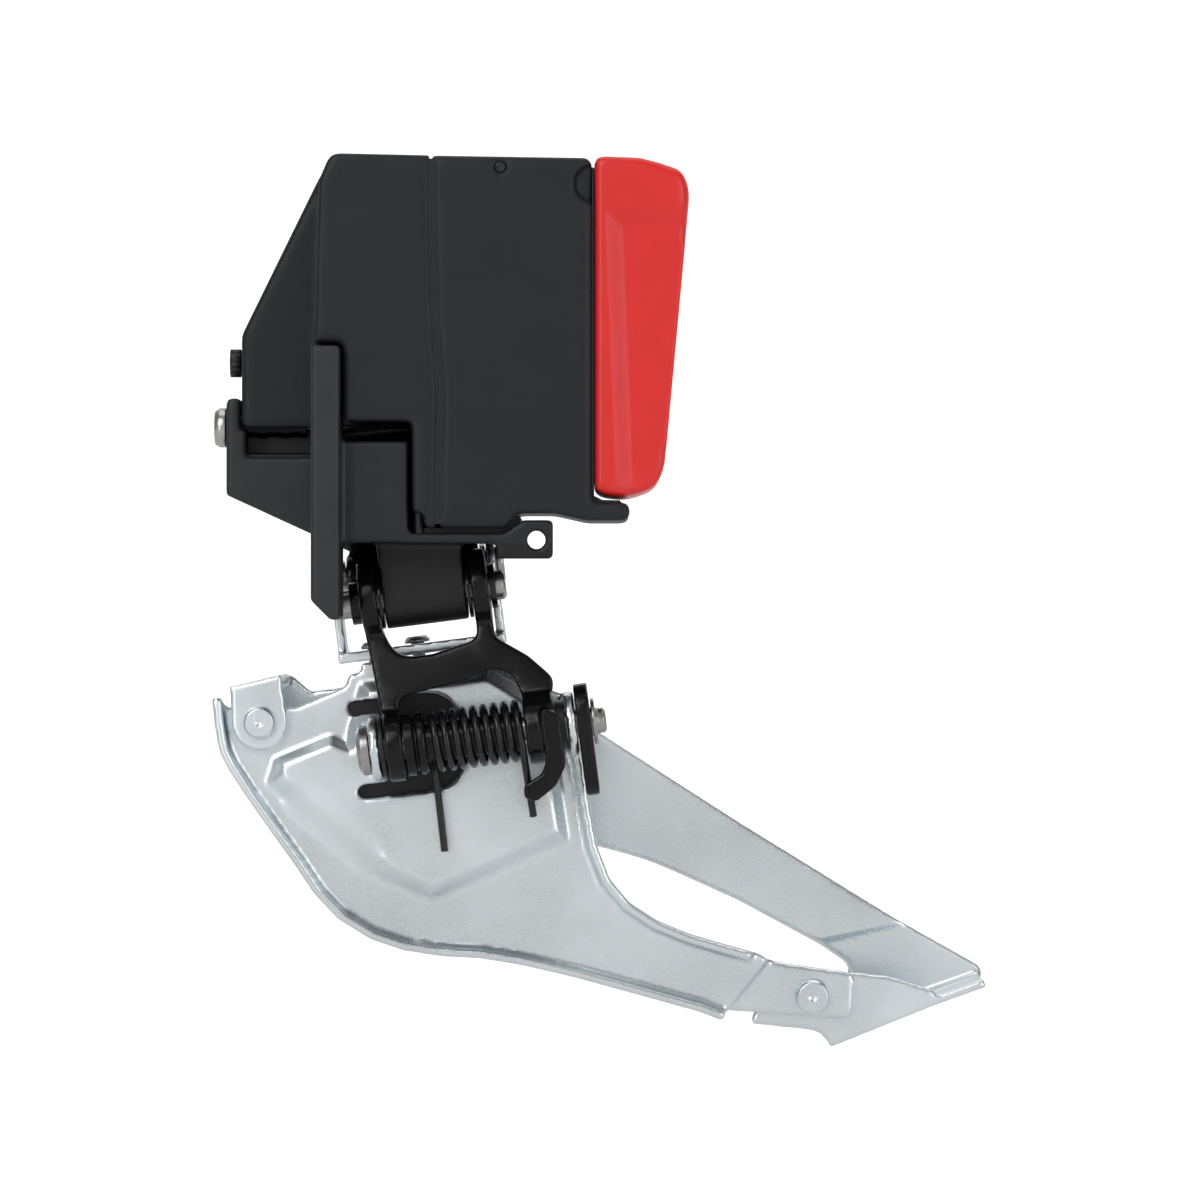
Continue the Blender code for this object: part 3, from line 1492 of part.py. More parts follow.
def make_small_pieces():
    wall_sides = 24
    finish(
        turned(
            "front_bolt",
            "YZ",
            FRONT_BOLT,
            [(0, -1.4)]
            + [
                (1.5 - 0.25 * (k % 2), -1.4 - 1.5 * k)
                for k in range(int((-1.4 - WALL_FRONT) / 1.5))
            ]
            + [
                (1.5, WALL_FRONT - SKIN),
                (2.7, WALL_FRONT - SKIN),
                (2.7, WALL_FRONT - 1.0),
                (2.3, WALL_FRONT - 1.7),
                (1.3, WALL_FRONT - 1.7),
                (1.2, WALL_FRONT - 0.7),
                (0, WALL_FRONT - 0.7),
            ],
            sides=wall_sides,
        ),
        "steel",
    )
    ridge = [
        (
            LIMIT_SCREW[0] + (1.98 if k % 2 else 1.7) * math.cos(2 * math.pi * k / 32),
            LIMIT_SCREW[1] + (1.98 if k % 2 else 1.7) * math.sin(2 * math.pi * k / 32),
        )
        for k in range(32)
    ]
    knob = prism("limit_screw", "YZ", ridge, WING_FRONT - GAP - 1.5, WING_FRONT - GAP)
    stem = rod("stem", "YZ", LIMIT_SCREW, WING_FRONT - 1.0, WING_FRONT + 5.6, 1.2, sides=16)
    socket = rod("socket", "YZ", LIMIT_SCREW, WING_FRONT - 4, WING_FRONT - 1.1, 0.8, sides=6)
    finish(cut(join(knob, stem), socket), "black")
    shelf_low = BLOCK_BOTTOM - 0.1
    finish(rod("base_screw_inner", "XY", BASE_SCREW_A, shelf_low, 0.3, 0.65, sides=16), "steel")
    finish(rod("base_screw_outer", "XY", BASE_SCREW_B, shelf_low, 0.3, 0.65, sides=16), "steel")
    slope = math.radians(TILT)
    start = (WALL_FRONT + 0.5 - PIVOT_X + OUTER_RISE * math.sin(slope)) / math.cos(slope)
    finish(
        turned(
            "outer_axle",
            "YZ",
            UPPER_OUT,
            [
                (0, AXLE_REAR),
                (PIN_RADIUS - 0.3, AXLE_REAR),
                (PIN_RADIUS, AXLE_REAR - 0.3),
                (PIN_RADIUS, start + 0.3),
                (PIN_RADIUS - 0.3, start),
                (0, start),
            ],
            LINK,
        ),
        "steel",
    )
    finish(
        turned(
            "inner_upper_pin",
            "YZ",
            UPPER_IN,
            [
                (0, EAR_D + 2.3),
                (PIN_RADIUS - 0.4, EAR_D + 2.3),
                (PIN_RADIUS, EAR_D + 1.9),
                (PIN_RADIUS, EAR_B - 2.8),
                (PIN_RADIUS - 0.4, EAR_B - 3.2),
                (0, EAR_B - 3.2),
            ],
            LINK,
        ),
        "steel",
    )
    finish(
        washer(
            "upper_washer_front",
            UPPER_IN,
            -BARREL_HALF - SKIN - UPPER_WASHER,
            -BARREL_HALF - SKIN,
            3.9,
            BORE,
        ),
        "steel",
    )
    finish(
        washer(
            "upper_washer_rear",
            UPPER_IN,
            BARREL_HALF + SKIN,
            BARREL_HALF + SKIN + UPPER_WASHER,
            3.9,
            BORE,
        ),
        "steel",
    )
    finish(washer("upper_collar", UPPER_IN, EAR_B - SKIN - 1.2, EAR_B - SKIN, 2.9, BORE), "black")
    finish(washer("upper_clip", UPPER_IN, EAR_D + SKIN, EAR_D + SKIN + 0.8, 3.0, BORE), "steel")
    pin_end = STOP_END + 2 * SKIN + PIN_WASHER
    finish(
        turned(
            "inner_lower_pin",
            "YZ",
            LOWER_IN,
            [
                (0, pin_end + 1.2),
                (1.3, pin_end + 1.2),
                (1.7, pin_end + 0.9),
                (1.7, pin_end + SKIN),
                (PIN_RADIUS, pin_end - 0.2),
                (PIN_RADIUS, LUG_FRONT - SKIN),
                (3.35, LUG_FRONT - SKIN),
                (3.35, LUG_FRONT - 1.2),
                (2.6, LUG_FRONT - 1.75),
                (1.0, LUG_FRONT - 1.75),
                (0.8, LUG_FRONT - 1.2),
                (0, LUG_FRONT - 1.2),
            ],
            LINK,
        ),
        "steel",
    )
    finish(
        washer("lower_washer_front", LOWER_IN, LUG_END + SKIN, FOOT_A - SKIN, 4.2, BORE), "black"
    )
    finish(
        washer("lower_washer_rear", LOWER_IN, FOOT_D + SKIN, LUG_C - SKIN, LOWER_EAR_RADIUS - 1.4, BORE), "black"
    )
    arm = [
        (LOWER_IN[0] - 3.0, LOWER_IN[1] - 6.9),
        *arc(LOWER_IN[0], LOWER_IN[1] - 6.9, 3.0, 180, 360, 8)[1:-1],
        (LOWER_IN[0] + 3.0, LOWER_IN[1] - 6.9),
        *arc(LOWER_IN[0], LOWER_IN[1] + 1.4, 3.9, 0, 180, 10),
    ]
    finish(
        prism(
            "stop_arm",
            "YZ",
            arm,
            LUG_D + SKIN,
            STOP_END,
            LINK,
            holes=[circle(*LOWER_IN, BORE, 24)],
        ),
        "black",
    )
    finish(
        washer(
            "lower_pin_washer",
            LOWER_IN,
            STOP_END + SKIN,
            STOP_END + SKIN + PIN_WASHER,
            3.1,
            BORE,
        ),
        "steel",
    )
    finish(
        turned(
            "outer_lower_pin",
            "YZ",
            LOWER_OUT,
            [
                (0, BRIDGE_REAR + 1.0),
                (2.6, BRIDGE_REAR + 1.0),
                (2.8, BRIDGE_REAR + SKIN),
                (PIN_RADIUS, BRIDGE_REAR + SKIN),
                (PIN_RADIUS, BRIDGE_FRONT - 0.5),
                (PIN_RADIUS - 0.3, BRIDGE_FRONT - 0.8),
                (0, BRIDGE_FRONT - 0.8),
            ],
            LINK,
        ),
        "steel",
    )
    finish(
        washer(
            "outer_bush_front",
            LOWER_OUT,
            BRIDGE_FRONT + SHEET + SKIN,
            OUTER_FRONT - SKIN,
            2.7,
            BORE,
        ),
        "steel",
    )
    finish(
        washer(
            "outer_bush_rear",
            LOWER_OUT,
            OUTER_REAR + SKIN,
            BRIDGE_REAR - SHEET - SKIN,
            2.7,
            BORE,
        ),
        "steel",
    )
    clip_near = INNER_NEAR - GAP - SHEET
    finish(
        rivet(
            "front_rivet", "XZ", FRONT_RIVET, INNER_NEAR + SHEET + SKIN, clip_near - SKIN, 1.5,
            RIVET_RADIUS, 1.0, 0.6,
        ),
        "steel",
    )
    tail_near = INNER_NEAR + TAIL_SHIFT
    finish(
        rivet(
            "tail_rivet", "XZ", TAIL_RIVET, tail_near + 2 * SHEET + GAP + SKIN, tail_near - SKIN, 1.5,
            TAIL_RIVET_RADIUS, 1.0, 0.6,
        ),
        "steel",
    )
    shelf_low = BRIDGE_TOP - BRIDGE_THICK - GAP - SHEET
    for name, place in (("bridge_rivet_front", BRIDGE_RIVET_A), ("bridge_rivet_rear", BRIDGE_RIVET_B)):
        finish(
            turned(
                name,
                "XY",
                place,
                [
                    (0, BRIDGE_TOP + SKIN + 0.9),
                    (1.3, BRIDGE_TOP + SKIN + 0.9),
                    (1.75, BRIDGE_TOP + SKIN + 0.4),
                    (1.75, BRIDGE_TOP + SKIN),
                    (0.9, BRIDGE_TOP + SKIN),
                    (0.9, shelf_low - SKIN),
                    (1.4, shelf_low - SKIN),
                    (1.4, shelf_low - SKIN - 0.5),
                    (0, shelf_low - SKIN - 0.5),
                ],
                LINK,
            ),
            "steel",
        )
    finish(
        turned(
            "reduction_shaft",
            "YZ",
            GEAR_AT,
            [
                (0, PLATE_U + PLATE_THICK),
                (SHAFT_RADIUS, PLATE_U + PLATE_THICK),
                (SHAFT_RADIUS, SHAFT_FRONT),
                (0, SHAFT_FRONT),
            ],
            LINK,
            16,
        ),
        "steel",
    )
    finish(
        box(
            "circuit_board",
            (PARTING + 3.4, CASE_NEAR + CASE_WALL + GAP, CAVITY_LOW + GAP),
            (CASE_REAR - 3.0, CASE_NEAR + CASE_WALL + GAP + 1.2, CASE_TOP - CASE_WALL - 3.2),
        ),
        "board",
    )
    block = box(
        "contact_block",
        (CASE_REAR - 2.8, CASE_MID - 5.0, CONTACT_LOW),
        (CASE_REAR + 1.0, CASE_MID + 5.0, CONTACT_LOW + 8.0),
    )
    holes = [
        rod("hole", "YZ", (CASE_MID + side * 2.4, CONTACT_LOW + 4.0), 0, 60, 0.75, sides=12)
        for side in (-1, 1)
    ]
    finish(cut(block, *holes), "black")
    for name, side in (("contact_pin_inner", -1), ("contact_pin_outer", 1)):
        finish(
            rod(
                name,
                "YZ",
                (CASE_MID + side * 2.4, CONTACT_LOW + 4.0),
                CASE_REAR - 2.0,
                CASE_REAR + 1.8,
                0.65,
                sides=16,
            ),
            "brass",
        )
    finish(rod("status_lens", "XZ", LENS_AT, CASE_NEAR + 0.1, CASE_NEAR + 1.1, 0.68, sides=16), "lens")
    finish(
        turned(
            "function_button",
            "XZ",
            BUTTON_AT,
            [
                (0, CASE_FAR + 0.5),
                (2.2, CASE_FAR + 0.5),
                (2.65, CASE_FAR + 0.1),
                (2.65, CASE_FAR - 0.7),
                (1.0, CASE_FAR - 0.7),
                (1.0, CASE_FAR - 1.9),
                (0, CASE_FAR - 1.9),
            ],
        ),
        "rubber",
    )
    finish(
        rod(
            "latch_pin",
            "XZ",
            (LATCH_HINGE_X, LATCH_HINGE_Z),
            CASE_MID - LATCH_HALF_WIDTH - 2.0,
            CASE_MID + LATCH_HALF_WIDTH + 2.0,
            LATCH_PIN_RADIUS,
            sides=16,
        ),
        "steel",
    )


finish(mount_base(), "charcoal")
finish(motor_housing(), "charcoal")
finish(rear_housing(), "charcoal")
finish(battery_cover(), "red")
finish(housing_seal(), "rubber")
finish(battery_latch(), "black")
finish(inner_link(), "black")
finish(outer_link(), "black")
finish(sector_gear(), "steel")
finish(reduction_gear(), "brass")
finish(motor_pinion(), "brass")
finish(gear_plate(), "steel")
finish(drive_motor(), "steel")
finish(spring_sleeve(), "black")
finish(torsion_spring(), "black")
finish(cage_inner_plate(), "zinc")
finish(cage_outer_plate(), "zinc")
finish(cage_bridge(), "zinc")
make_small_pieces()
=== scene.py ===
"""The looks of the front derailleur: finishes, rounded edges, stage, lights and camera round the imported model."""

import math

import bmesh
import bpy
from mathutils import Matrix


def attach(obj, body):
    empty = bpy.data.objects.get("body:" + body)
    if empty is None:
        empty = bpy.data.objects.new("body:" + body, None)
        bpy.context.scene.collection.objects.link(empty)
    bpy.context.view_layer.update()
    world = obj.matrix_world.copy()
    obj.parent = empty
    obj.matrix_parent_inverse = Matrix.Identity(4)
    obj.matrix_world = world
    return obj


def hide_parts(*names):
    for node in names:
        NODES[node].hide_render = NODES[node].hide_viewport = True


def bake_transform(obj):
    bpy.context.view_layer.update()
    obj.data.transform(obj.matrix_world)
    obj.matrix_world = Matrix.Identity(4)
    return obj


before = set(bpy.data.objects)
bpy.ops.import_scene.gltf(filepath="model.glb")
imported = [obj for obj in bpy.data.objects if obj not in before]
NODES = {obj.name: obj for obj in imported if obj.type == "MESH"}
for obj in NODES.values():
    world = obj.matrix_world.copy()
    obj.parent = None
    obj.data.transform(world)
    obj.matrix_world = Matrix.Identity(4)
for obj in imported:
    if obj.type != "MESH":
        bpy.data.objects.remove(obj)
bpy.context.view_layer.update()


# Finishes


def shader(name, colour, rough, metallic=0.0):
    """A new material, its node tree and its Principled shader."""
    made = bpy.data.materials.new(name)
    made.use_nodes = True
    tree = made.node_tree
    main = tree.nodes["Principled BSDF"]
    main.inputs["Base Color"].default_value = (*colour, 1.0)
    main.inputs["Roughness"].default_value = rough
    main.inputs["Metallic"].default_value = metallic
    made.diffuse_color = (*colour, 1.0)
    return made, tree, main


def place(tree, scale=(1.0, 1.0, 1.0)):
    """Object coordinates in metres, stretched by scale."""
    coordinates = tree.nodes.new("ShaderNodeTexCoord")
    mapping = tree.nodes.new("ShaderNodeMapping")
    mapping.inputs["Scale"].default_value = scale
    tree.links.new(coordinates.outputs["Object"], mapping.inputs["Vector"])
    return mapping.outputs["Vector"]


def noise(tree, vector, scale, detail=3.0, rough=0.55):
    made = tree.nodes.new("ShaderNodeTexNoise")
    made.inputs["Scale"].default_value = scale
    made.inputs["Detail"].default_value = detail
    made.inputs["Roughness"].default_value = rough
    tree.links.new(vector, made.inputs["Vector"])
    return made.outputs["Fac"]


# Noise stays mostly between these two.
NOISE_LOW, NOISE_HIGH = 0.3, 0.7


def ramp(tree, value, dark, light):
    """A colour that runs from dark to light with the noise value."""
    made = tree.nodes.new("ShaderNodeValToRGB")
    ends = made.color_ramp.elements
    for end, at, colour in ((ends[0], NOISE_LOW, dark), (ends[1], NOISE_HIGH, light)):
        end.position = at
        end.color = (*colour, 1.0)
    tree.links.new(value, made.inputs["Fac"])
    return made.outputs["Color"]


def spread(tree, value, low, high, start=NOISE_LOW, end=NOISE_HIGH):
    """A number that runs from low to high while value runs from start to end."""
    made = tree.nodes.new("ShaderNodeMapRange")
    made.inputs["From Min"].default_value = start
    made.inputs["From Max"].default_value = end
    made.inputs["To Min"].default_value = low
    made.inputs["To Max"].default_value = high
    tree.links.new(value, made.inputs["Value"])
    return made.outputs["Result"]


def mixed(tree, factor, first, second):
    made = tree.nodes.new("ShaderNodeMix")
    made.data_type = "RGBA"
    tree.links.new(factor, made.inputs["Factor"])
    tree.links.new(first, made.inputs["A"])
    tree.links.new(second, made.inputs["B"])
    return made.outputs["Result"]


def product(tree, one, two):
    made = tree.nodes.new("ShaderNodeMath")
    made.operation = "MULTIPLY"
    tree.links.new(one, made.inputs[0])
    tree.links.new(two, made.inputs[1])
    return made.outputs[0]


def bumped(tree, main, height, strength, distance):
    made = tree.nodes.new("ShaderNodeBump")
    made.inputs["Strength"].default_value = strength
    made.inputs["Distance"].default_value = distance
    tree.links.new(height, made.inputs["Height"])
    tree.links.new(made.outputs["Normal"], main.inputs["Normal"])


def shaded(colour, factor):
    return tuple(min(1.0, part * factor) for part in colour)


# Radius in metres, turns of the surface between which wear grows, and size and strength of its patches.
WEAR_RADIUS = 0.0003
WEAR_SAMPLES = 4
WEAR_TURN = (0.985, 0.86)
WEAR_PATCHES = 900.0
WEAR_MOST = 0.8


def worn(tree, colour, edge):
    """The colour, lighter along edges where hands and chain rub it."""
    shape = tree.nodes.new("ShaderNodeNewGeometry")
    soft = tree.nodes.new("ShaderNodeBevel")
    soft.samples = WEAR_SAMPLES
    soft.inputs["Radius"].default_value = WEAR_RADIUS
    turn = tree.nodes.new("ShaderNodeVectorMath")
    turn.operation = "DOT_PRODUCT"
    tree.links.new(soft.outputs["Normal"], turn.inputs[0])
    tree.links.new(shape.outputs["Normal"], turn.inputs[1])
    patchy = noise(tree, place(tree), scale=WEAR_PATCHES, detail=4.0)
    lift = product(
        tree,
        spread(tree, turn.outputs["Value"], 0.0, 1.0, *WEAR_TURN),
        spread(tree, patchy, 0.0, WEAR_MOST, 0.42, 0.62),
    )
    light = tree.nodes.new("ShaderNodeRGB")
    light.outputs[0].default_value = (*edge, 1.0)
    return mixed(tree, lift, colour, light.outputs[0])


def moulded(name, colour, rough, grain, depth, edge=None, coat=0.0, specular=0.5, vary=0.12):
    """Moulded or painted stock: faint mottling, a fine grain and rubbed edges."""
    made, tree, main = shader(name, colour, rough)
    here = place(tree)
    mottle = noise(tree, here, scale=160.0, detail=5.0)
    tone = ramp(tree, mottle, shaded(colour, 1.0 - vary), shaded(colour, 1.0 + vary))
    tone = worn(tree, tone, edge or shaded(colour, 1.9))
    tree.links.new(tone, main.inputs["Base Color"])
    fine = noise(tree, here, scale=grain, detail=2.0)
    cloudy = noise(tree, here, scale=420.0, detail=4.0)
    changing = spread(tree, cloudy, rough * 0.94, min(1.0, rough * 1.07))
    tree.links.new(changing, main.inputs["Roughness"])
    bumped(tree, main, fine, strength=0.35, distance=depth)
    main.inputs["Specular IOR Level"].default_value = specular
    main.inputs["Coat Weight"].default_value = coat
    main.inputs["Coat Roughness"].default_value = 0.18
    return made


def metal(name, colour, rough, stretch, depth, vary=0.08, grain=1500.0):
    """Bare or plated metal: streaks along one way, a faint change of tone and rubbed edges."""
    made, tree, main = shader(name, colour, rough, 1.0)
    here = place(tree)
    streaks = noise(tree, place(tree, stretch), scale=grain, detail=4.0, rough=0.6)
    cloudy = noise(tree, here, scale=55.0, detail=5.0)
    tone = ramp(tree, cloudy, shaded(colour, 1.0 - vary), shaded(colour, 1.0 + vary))
    tree.links.new(worn(tree, tone, shaded(colour, 1.25)), main.inputs["Base Color"])
    rub = product(
        tree,
        spread(tree, streaks, 0.8, 1.25),
        spread(tree, cloudy, rough * 0.85, rough * 1.15),
    )
    tree.links.new(rub, main.inputs["Roughness"])
    bumped(tree, main, streaks, strength=0.22, distance=depth)
    return made


FINISHES = {
    "casing": moulded(
        "casing_charcoal", (0.0125, 0.0138, 0.0170), rough=0.48, grain=5200.0, depth=0.00003, specular=0.3, vary=0.07
    ),
    "casting": moulded(
        "casting_grey", (0.0245, 0.026, 0.029), rough=0.45, grain=4200.0, depth=0.00003, specular=0.35
    ),
    "gloss": moulded(
        "gloss_black", (0.0035, 0.0035, 0.004), rough=0.2, grain=2600.0, depth=0.00001,
        edge=(0.012, 0.012, 0.013), coat=0.1, specular=0.22,
    ),
    "plastic": moulded(
        "black_plastic", (0.010, 0.010, 0.011), rough=0.4, grain=4200.0, depth=0.00002, specular=0.4
    ),
    "spring": moulded(
        "spring_black", (0.005, 0.005, 0.006), rough=0.2, grain=3000.0, depth=0.00001,
        edge=(0.02, 0.02, 0.022), coat=0.1, specular=0.4,
    ),
    "red": moulded(
        "cover_red", (0.74, 0.018, 0.015), rough=0.36, grain=5200.0, depth=0.00002,
        edge=(0.80, 0.06, 0.05), coat=0.2, specular=0.42, vary=0.035,
    ),
    "rubber": moulded("button_rubber", (0.016, 0.016, 0.017), rough=0.75, grain=3800.0, depth=0.00004),
    "board": moulded("board_green", (0.016, 0.12, 0.05), rough=0.4, grain=2400.0, depth=0.00002),
    "zinc": metal(
        "zinc_plate", (0.745, 0.80, 0.82), rough=0.31, stretch=(1.0, 1.0, 1.0), depth=0.000006, vary=0.1, grain=3600.0
    ),
    "steel": metal("turned_steel", (0.40, 0.39, 0.38), rough=0.27, stretch=(0.1, 1.0, 1.0), depth=0.00001),
    "brass": metal("gear_brass", (0.72, 0.47, 0.17), rough=0.3, stretch=(0.2, 1.0, 1.0), depth=0.00001),
    "bolt": metal("bolt_steel", (0.46, 0.45, 0.44), rough=0.27, stretch=(1.0, 0.1, 0.1), depth=0.00001),
}


def split(made, limits, colour):
    """Gives a material another colour where every (axis, value, below) of limits holds."""
    tree = made.node_tree
    main = tree.nodes["Principled BSDF"]
    parts = tree.nodes.new("ShaderNodeSeparateXYZ")
    tree.links.new(place(tree), parts.inputs[0])
    holds = None
    for axis, value, below in limits:
        side = tree.nodes.new("ShaderNodeMath")
        side.operation = "LESS_THAN" if below else "GREATER_THAN"
        side.inputs[1].default_value = value
        tree.links.new(parts.outputs[axis], side.inputs[0])
        holds = side.outputs[0] if holds is None else product(tree, holds, side.outputs[0])
    tone = noise(tree, place(tree), scale=400.0)
    other = ramp(tree, tone, shaded(colour, 0.85), shaded(colour, 1.15))
    before = main.inputs["Base Color"].links[0].from_socket
    tree.links.new(mixed(tree, holds, before, other), main.inputs["Base Color"])


# The bolt keeps bright steel at its head only; its shank, sunk in the shadowed gap, is painted dark as painted shade.
# The casting is grey on the pad, darker past it and black down at the pivots.
SHADED_BOLT_SHANK = ("X", -0.0121, False)
PAST_PAD = ("X", 0.0045, False)
AT_PIVOTS = ("Z", -0.00812, True)
# Painted shade: the bolt's shank past its head gets a dark colour for the shadow in the gap.
split(FINISHES["bolt"], [SHADED_BOLT_SHANK], (0.012, 0.012, 0.013))
split(FINISHES["casting"], [PAST_PAD], (0.0125, 0.0135, 0.0160))
split(FINISHES["casting"], [PAST_PAD, AT_PIVOTS], (0.007, 0.007, 0.008))


def dark_lens():
    """The dark clear plastic of the status lens."""
    made, tree, main = shader("lens_dark", (0.02, 0.022, 0.025), 0.12)
    tone = noise(tree, place(tree), scale=700.0)
    tree.links.new(spread(tree, tone, low=0.1, high=0.18), main.inputs["Roughness"])
    main.inputs["Transmission Weight"].default_value = 0.25
    return made


FINISHES["lens"] = dark_lens()

# Nodes that aren't named here are steel.
USED = {
    "casing": "motor_housing rear_housing",
    "casting": "mount_base",
    "gloss": "inner_link outer_link stop_arm spring_sleeve upper_collar",
    "plastic": "battery_latch limit_screw contact_block lower_washer_front lower_washer_rear"
    " base_screw_inner base_screw_outer",
    "spring": "torsion_spring outer_axle upper_clip upper_washer_front upper_washer_rear",
    "red": "battery_cover",
    "rubber": "function_button housing_seal",
    "board": "circuit_board",
    "zinc": "cage_inner_plate cage_outer_plate cage_bridge front_rivet tail_rivet",
    "brass": "reduction_gear motor_pinion contact_pin_inner contact_pin_outer",
    "lens": "status_lens",
    "bolt": "front_bolt",
}
FINISH_OF = {node: finish for finish, nodes in USED.items() for node in nodes.split()}


# Node groups that shape the surface of a node


def new_group(name):
    """An empty geometry node group, with its socket for what comes in and its socket for what goes out."""
    made = bpy.data.node_groups.new(name, "GeometryNodeTree")
    for way in ("INPUT", "OUTPUT"):
        made.interface.new_socket("Geometry", in_out=way, socket_type="NodeSocketGeometry")
    start = made.nodes.new("NodeGroupInput")
    end = made.nodes.new("NodeGroupOutput")
    return made, start.outputs[0], end.inputs[0]


def positions(made):
    """Where each point is, whole and as its X, Y and Z."""
    whole = made.nodes.new("GeometryNodeInputPosition").outputs[0]
    parts = made.nodes.new("ShaderNodeSeparateXYZ")
    made.links.new(whole, parts.inputs[0])
    return whole, parts.outputs["X"], parts.outputs["Y"], parts.outputs["Z"]


def calc(made, operation, one, two=0.0):
    """The result of one operation on sockets or plain numbers."""
    node = made.nodes.new("ShaderNodeMath")
    node.operation = operation
    for socket, value in zip(node.inputs, (one, two)):
        if isinstance(value, float):
            socket.default_value = value
        else:
            made.links.new(value, socket)
    return node.outputs[0]


def share(made, value, low, high, curve="SMOOTHSTEP"):
    """0 where value is low and 1 where it is high, and between them in between."""
    node = made.nodes.new("ShaderNodeMapRange")
    node.interpolation_type = curve
    node.inputs["From Min"].default_value = low
    node.inputs["From Max"].default_value = high
    made.links.new(value, node.inputs["Value"])
    return node.outputs["Result"]


def from_line(made, x, z, first, last):
    """The way from each point to the line from first to last: along it, and to its side."""
    length = math.dist(first, last)
    way_x, way_z = (last[0] - first[0]) / length, (last[1] - first[1]) / length
    x = calc(made, "SUBTRACT", x, first[0])
    z = calc(made, "SUBTRACT", z, first[1])
    run = calc(made, "ADD", calc(made, "MULTIPLY", x, way_x), calc(made, "MULTIPLY", z, way_z))
    off = calc(made, "SUBTRACT", calc(made, "MULTIPLY", x, way_z), calc(made, "MULTIPLY", z, way_x))
    return run, off


def moved(made, start, end, field, value):
    """Ends the group by setting the Position of each point, or its Offset, to value."""
    move = made.nodes.new("GeometryNodeSetPosition")
    made.links.new(start, move.inputs["Geometry"])
    made.links.new(value, move.inputs[field])
    made.links.new(move.outputs["Geometry"], end)


def along_y(made, step):
    """A vector along Y, as long as step."""
    offset = made.nodes.new("ShaderNodeCombineXYZ")
    made.links.new(step, offset.inputs["Y"])
    return offset.outputs[0]


def smooth_group():
    """Shades every face smooth."""
    made, start, end = new_group("all_smooth")
    smooth = made.nodes.new("GeometryNodeSetShadeSmooth")
    made.links.new(start, smooth.inputs["Geometry"])
    made.links.new(smooth.outputs["Geometry"], end)
    return made


def slope_group(first, last, reach, rounds):
    """Blurs the surface near the line from first to last (x, z), and fades out at reach."""
    made, start, end = new_group("soft_slope")
    whole, x, _, z = positions(made)
    run, off = from_line(made, x, z, first, last)
    length = math.dist(first, last)
    past = calc(made, "MAXIMUM", calc(made, "SUBTRACT", run, length), calc(made, "MULTIPLY", run, -1.0))
    away = calc(made, "MAXIMUM", calc(made, "ABSOLUTE", off), calc(made, "MULTIPLY", past, 0.5))
    blur = made.nodes.new("GeometryNodeBlurAttribute")
    blur.data_type = "FLOAT_VECTOR"
    blur.inputs["Iterations"].default_value = rounds
    value_in = [socket for socket in blur.inputs if socket.name == "Value" and socket.enabled][0]
    value_out = [socket for socket in blur.outputs if socket.enabled][0]
    made.links.new(whole, value_in)
    made.links.new(share(made, away, reach, reach * 0.45), blur.inputs["Weight"])
    moved(made, start, end, "Position", value_out)
    return made


# The scoop in metres. Its side wall leans with Z, and it starts a little before its walls do.
SCOOP_FLOOR = -0.0030
SCOOP_RISE = 0.0013
SCOOP_SIDE = (0.0392, 0.0413)
SCOOP_TOP = (0.0367, 0.0342)
SCOOP_LEAN = 0.040
SCOOP_LEAN_FROM = 0.0340
SCOOP_NEAR = -0.00145
SCOOP_RIM = 0.0001


def scoop_group():
    """Gives the near face of the battery cover its sloped scoop."""
    made, start, end = new_group("scoop")
    _, x, y, z = positions(made)
    lean = calc(made, "MULTIPLY", calc(made, "SUBTRACT", z, SCOOP_LEAN_FROM), SCOOP_LEAN)
    lean = calc(made, "ADD", x, lean)
    across = share(made, lean, *SCOOP_SIDE, curve="LINEAR")
    down = share(made, z, *SCOOP_TOP, curve="LINEAR")
    depth = calc(made, "MULTIPLY", calc(made, "MINIMUM", across, down), SCOOP_RISE)
    floor = calc(made, "ADD", depth, SCOOP_FLOOR)
    inside = calc(
        made,
        "MULTIPLY",
        calc(made, "GREATER_THAN", lean, SCOOP_SIDE[0] - SCOOP_RIM),
        calc(made, "LESS_THAN", z, SCOOP_TOP[0] + SCOOP_RIM),
    )
    near = calc(made, "MULTIPLY", calc(made, "LESS_THAN", y, SCOOP_NEAR), inside)
    step = calc(made, "MULTIPLY", calc(made, "SUBTRACT", floor, y), near)
    moved(made, start, end, "Offset", along_y(made, step))
    return made


# How long the sheet rises towards the fold line, half the width of the step there, and how far Y takes to fade.
FOLD_RUN_UP = 0.010
FOLD_EDGE = 0.0003
FOLD_FADE = 0.003


def fold_group(first, last, behind, depth):
    """Lifts a sheet by depth up to the line from first to last (x, z), where Y is over behind."""
    made, start, end = new_group("fold")
    _, x, y, z = positions(made)
    _, past = from_line(made, x, z, first, last)
    lift = calc(
        made,
        "MULTIPLY",
        share(made, past, -FOLD_RUN_UP, -FOLD_EDGE),
        share(made, past, FOLD_EDGE, -FOLD_EDGE),
    )
    lift = calc(made, "MULTIPLY", lift, share(made, y, behind - FOLD_FADE, behind))
    moved(made, start, end, "Offset", along_y(made, calc(made, "MULTIPLY", lift, -depth)))
    return made


SMOOTH = smooth_group()
SCOOP = scoop_group()
CORNERS = [
    slope_group((0.0499, 0.0424), (0.0505, 0.0388), reach=0.0036, rounds=26),
    slope_group((0.0412, -0.0020), (0.0470, 0.0018), reach=0.0030, rounds=16),
]
SLOPE = slope_group((0.0016, -0.0451), (0.0036, -0.0468), reach=0.0034, rounds=50)
FOLD = fold_group((0.0664, -0.0633), (0.0797, -0.0604), behind=0.0235, depth=0.00035)


# What each node of the CAD model gets

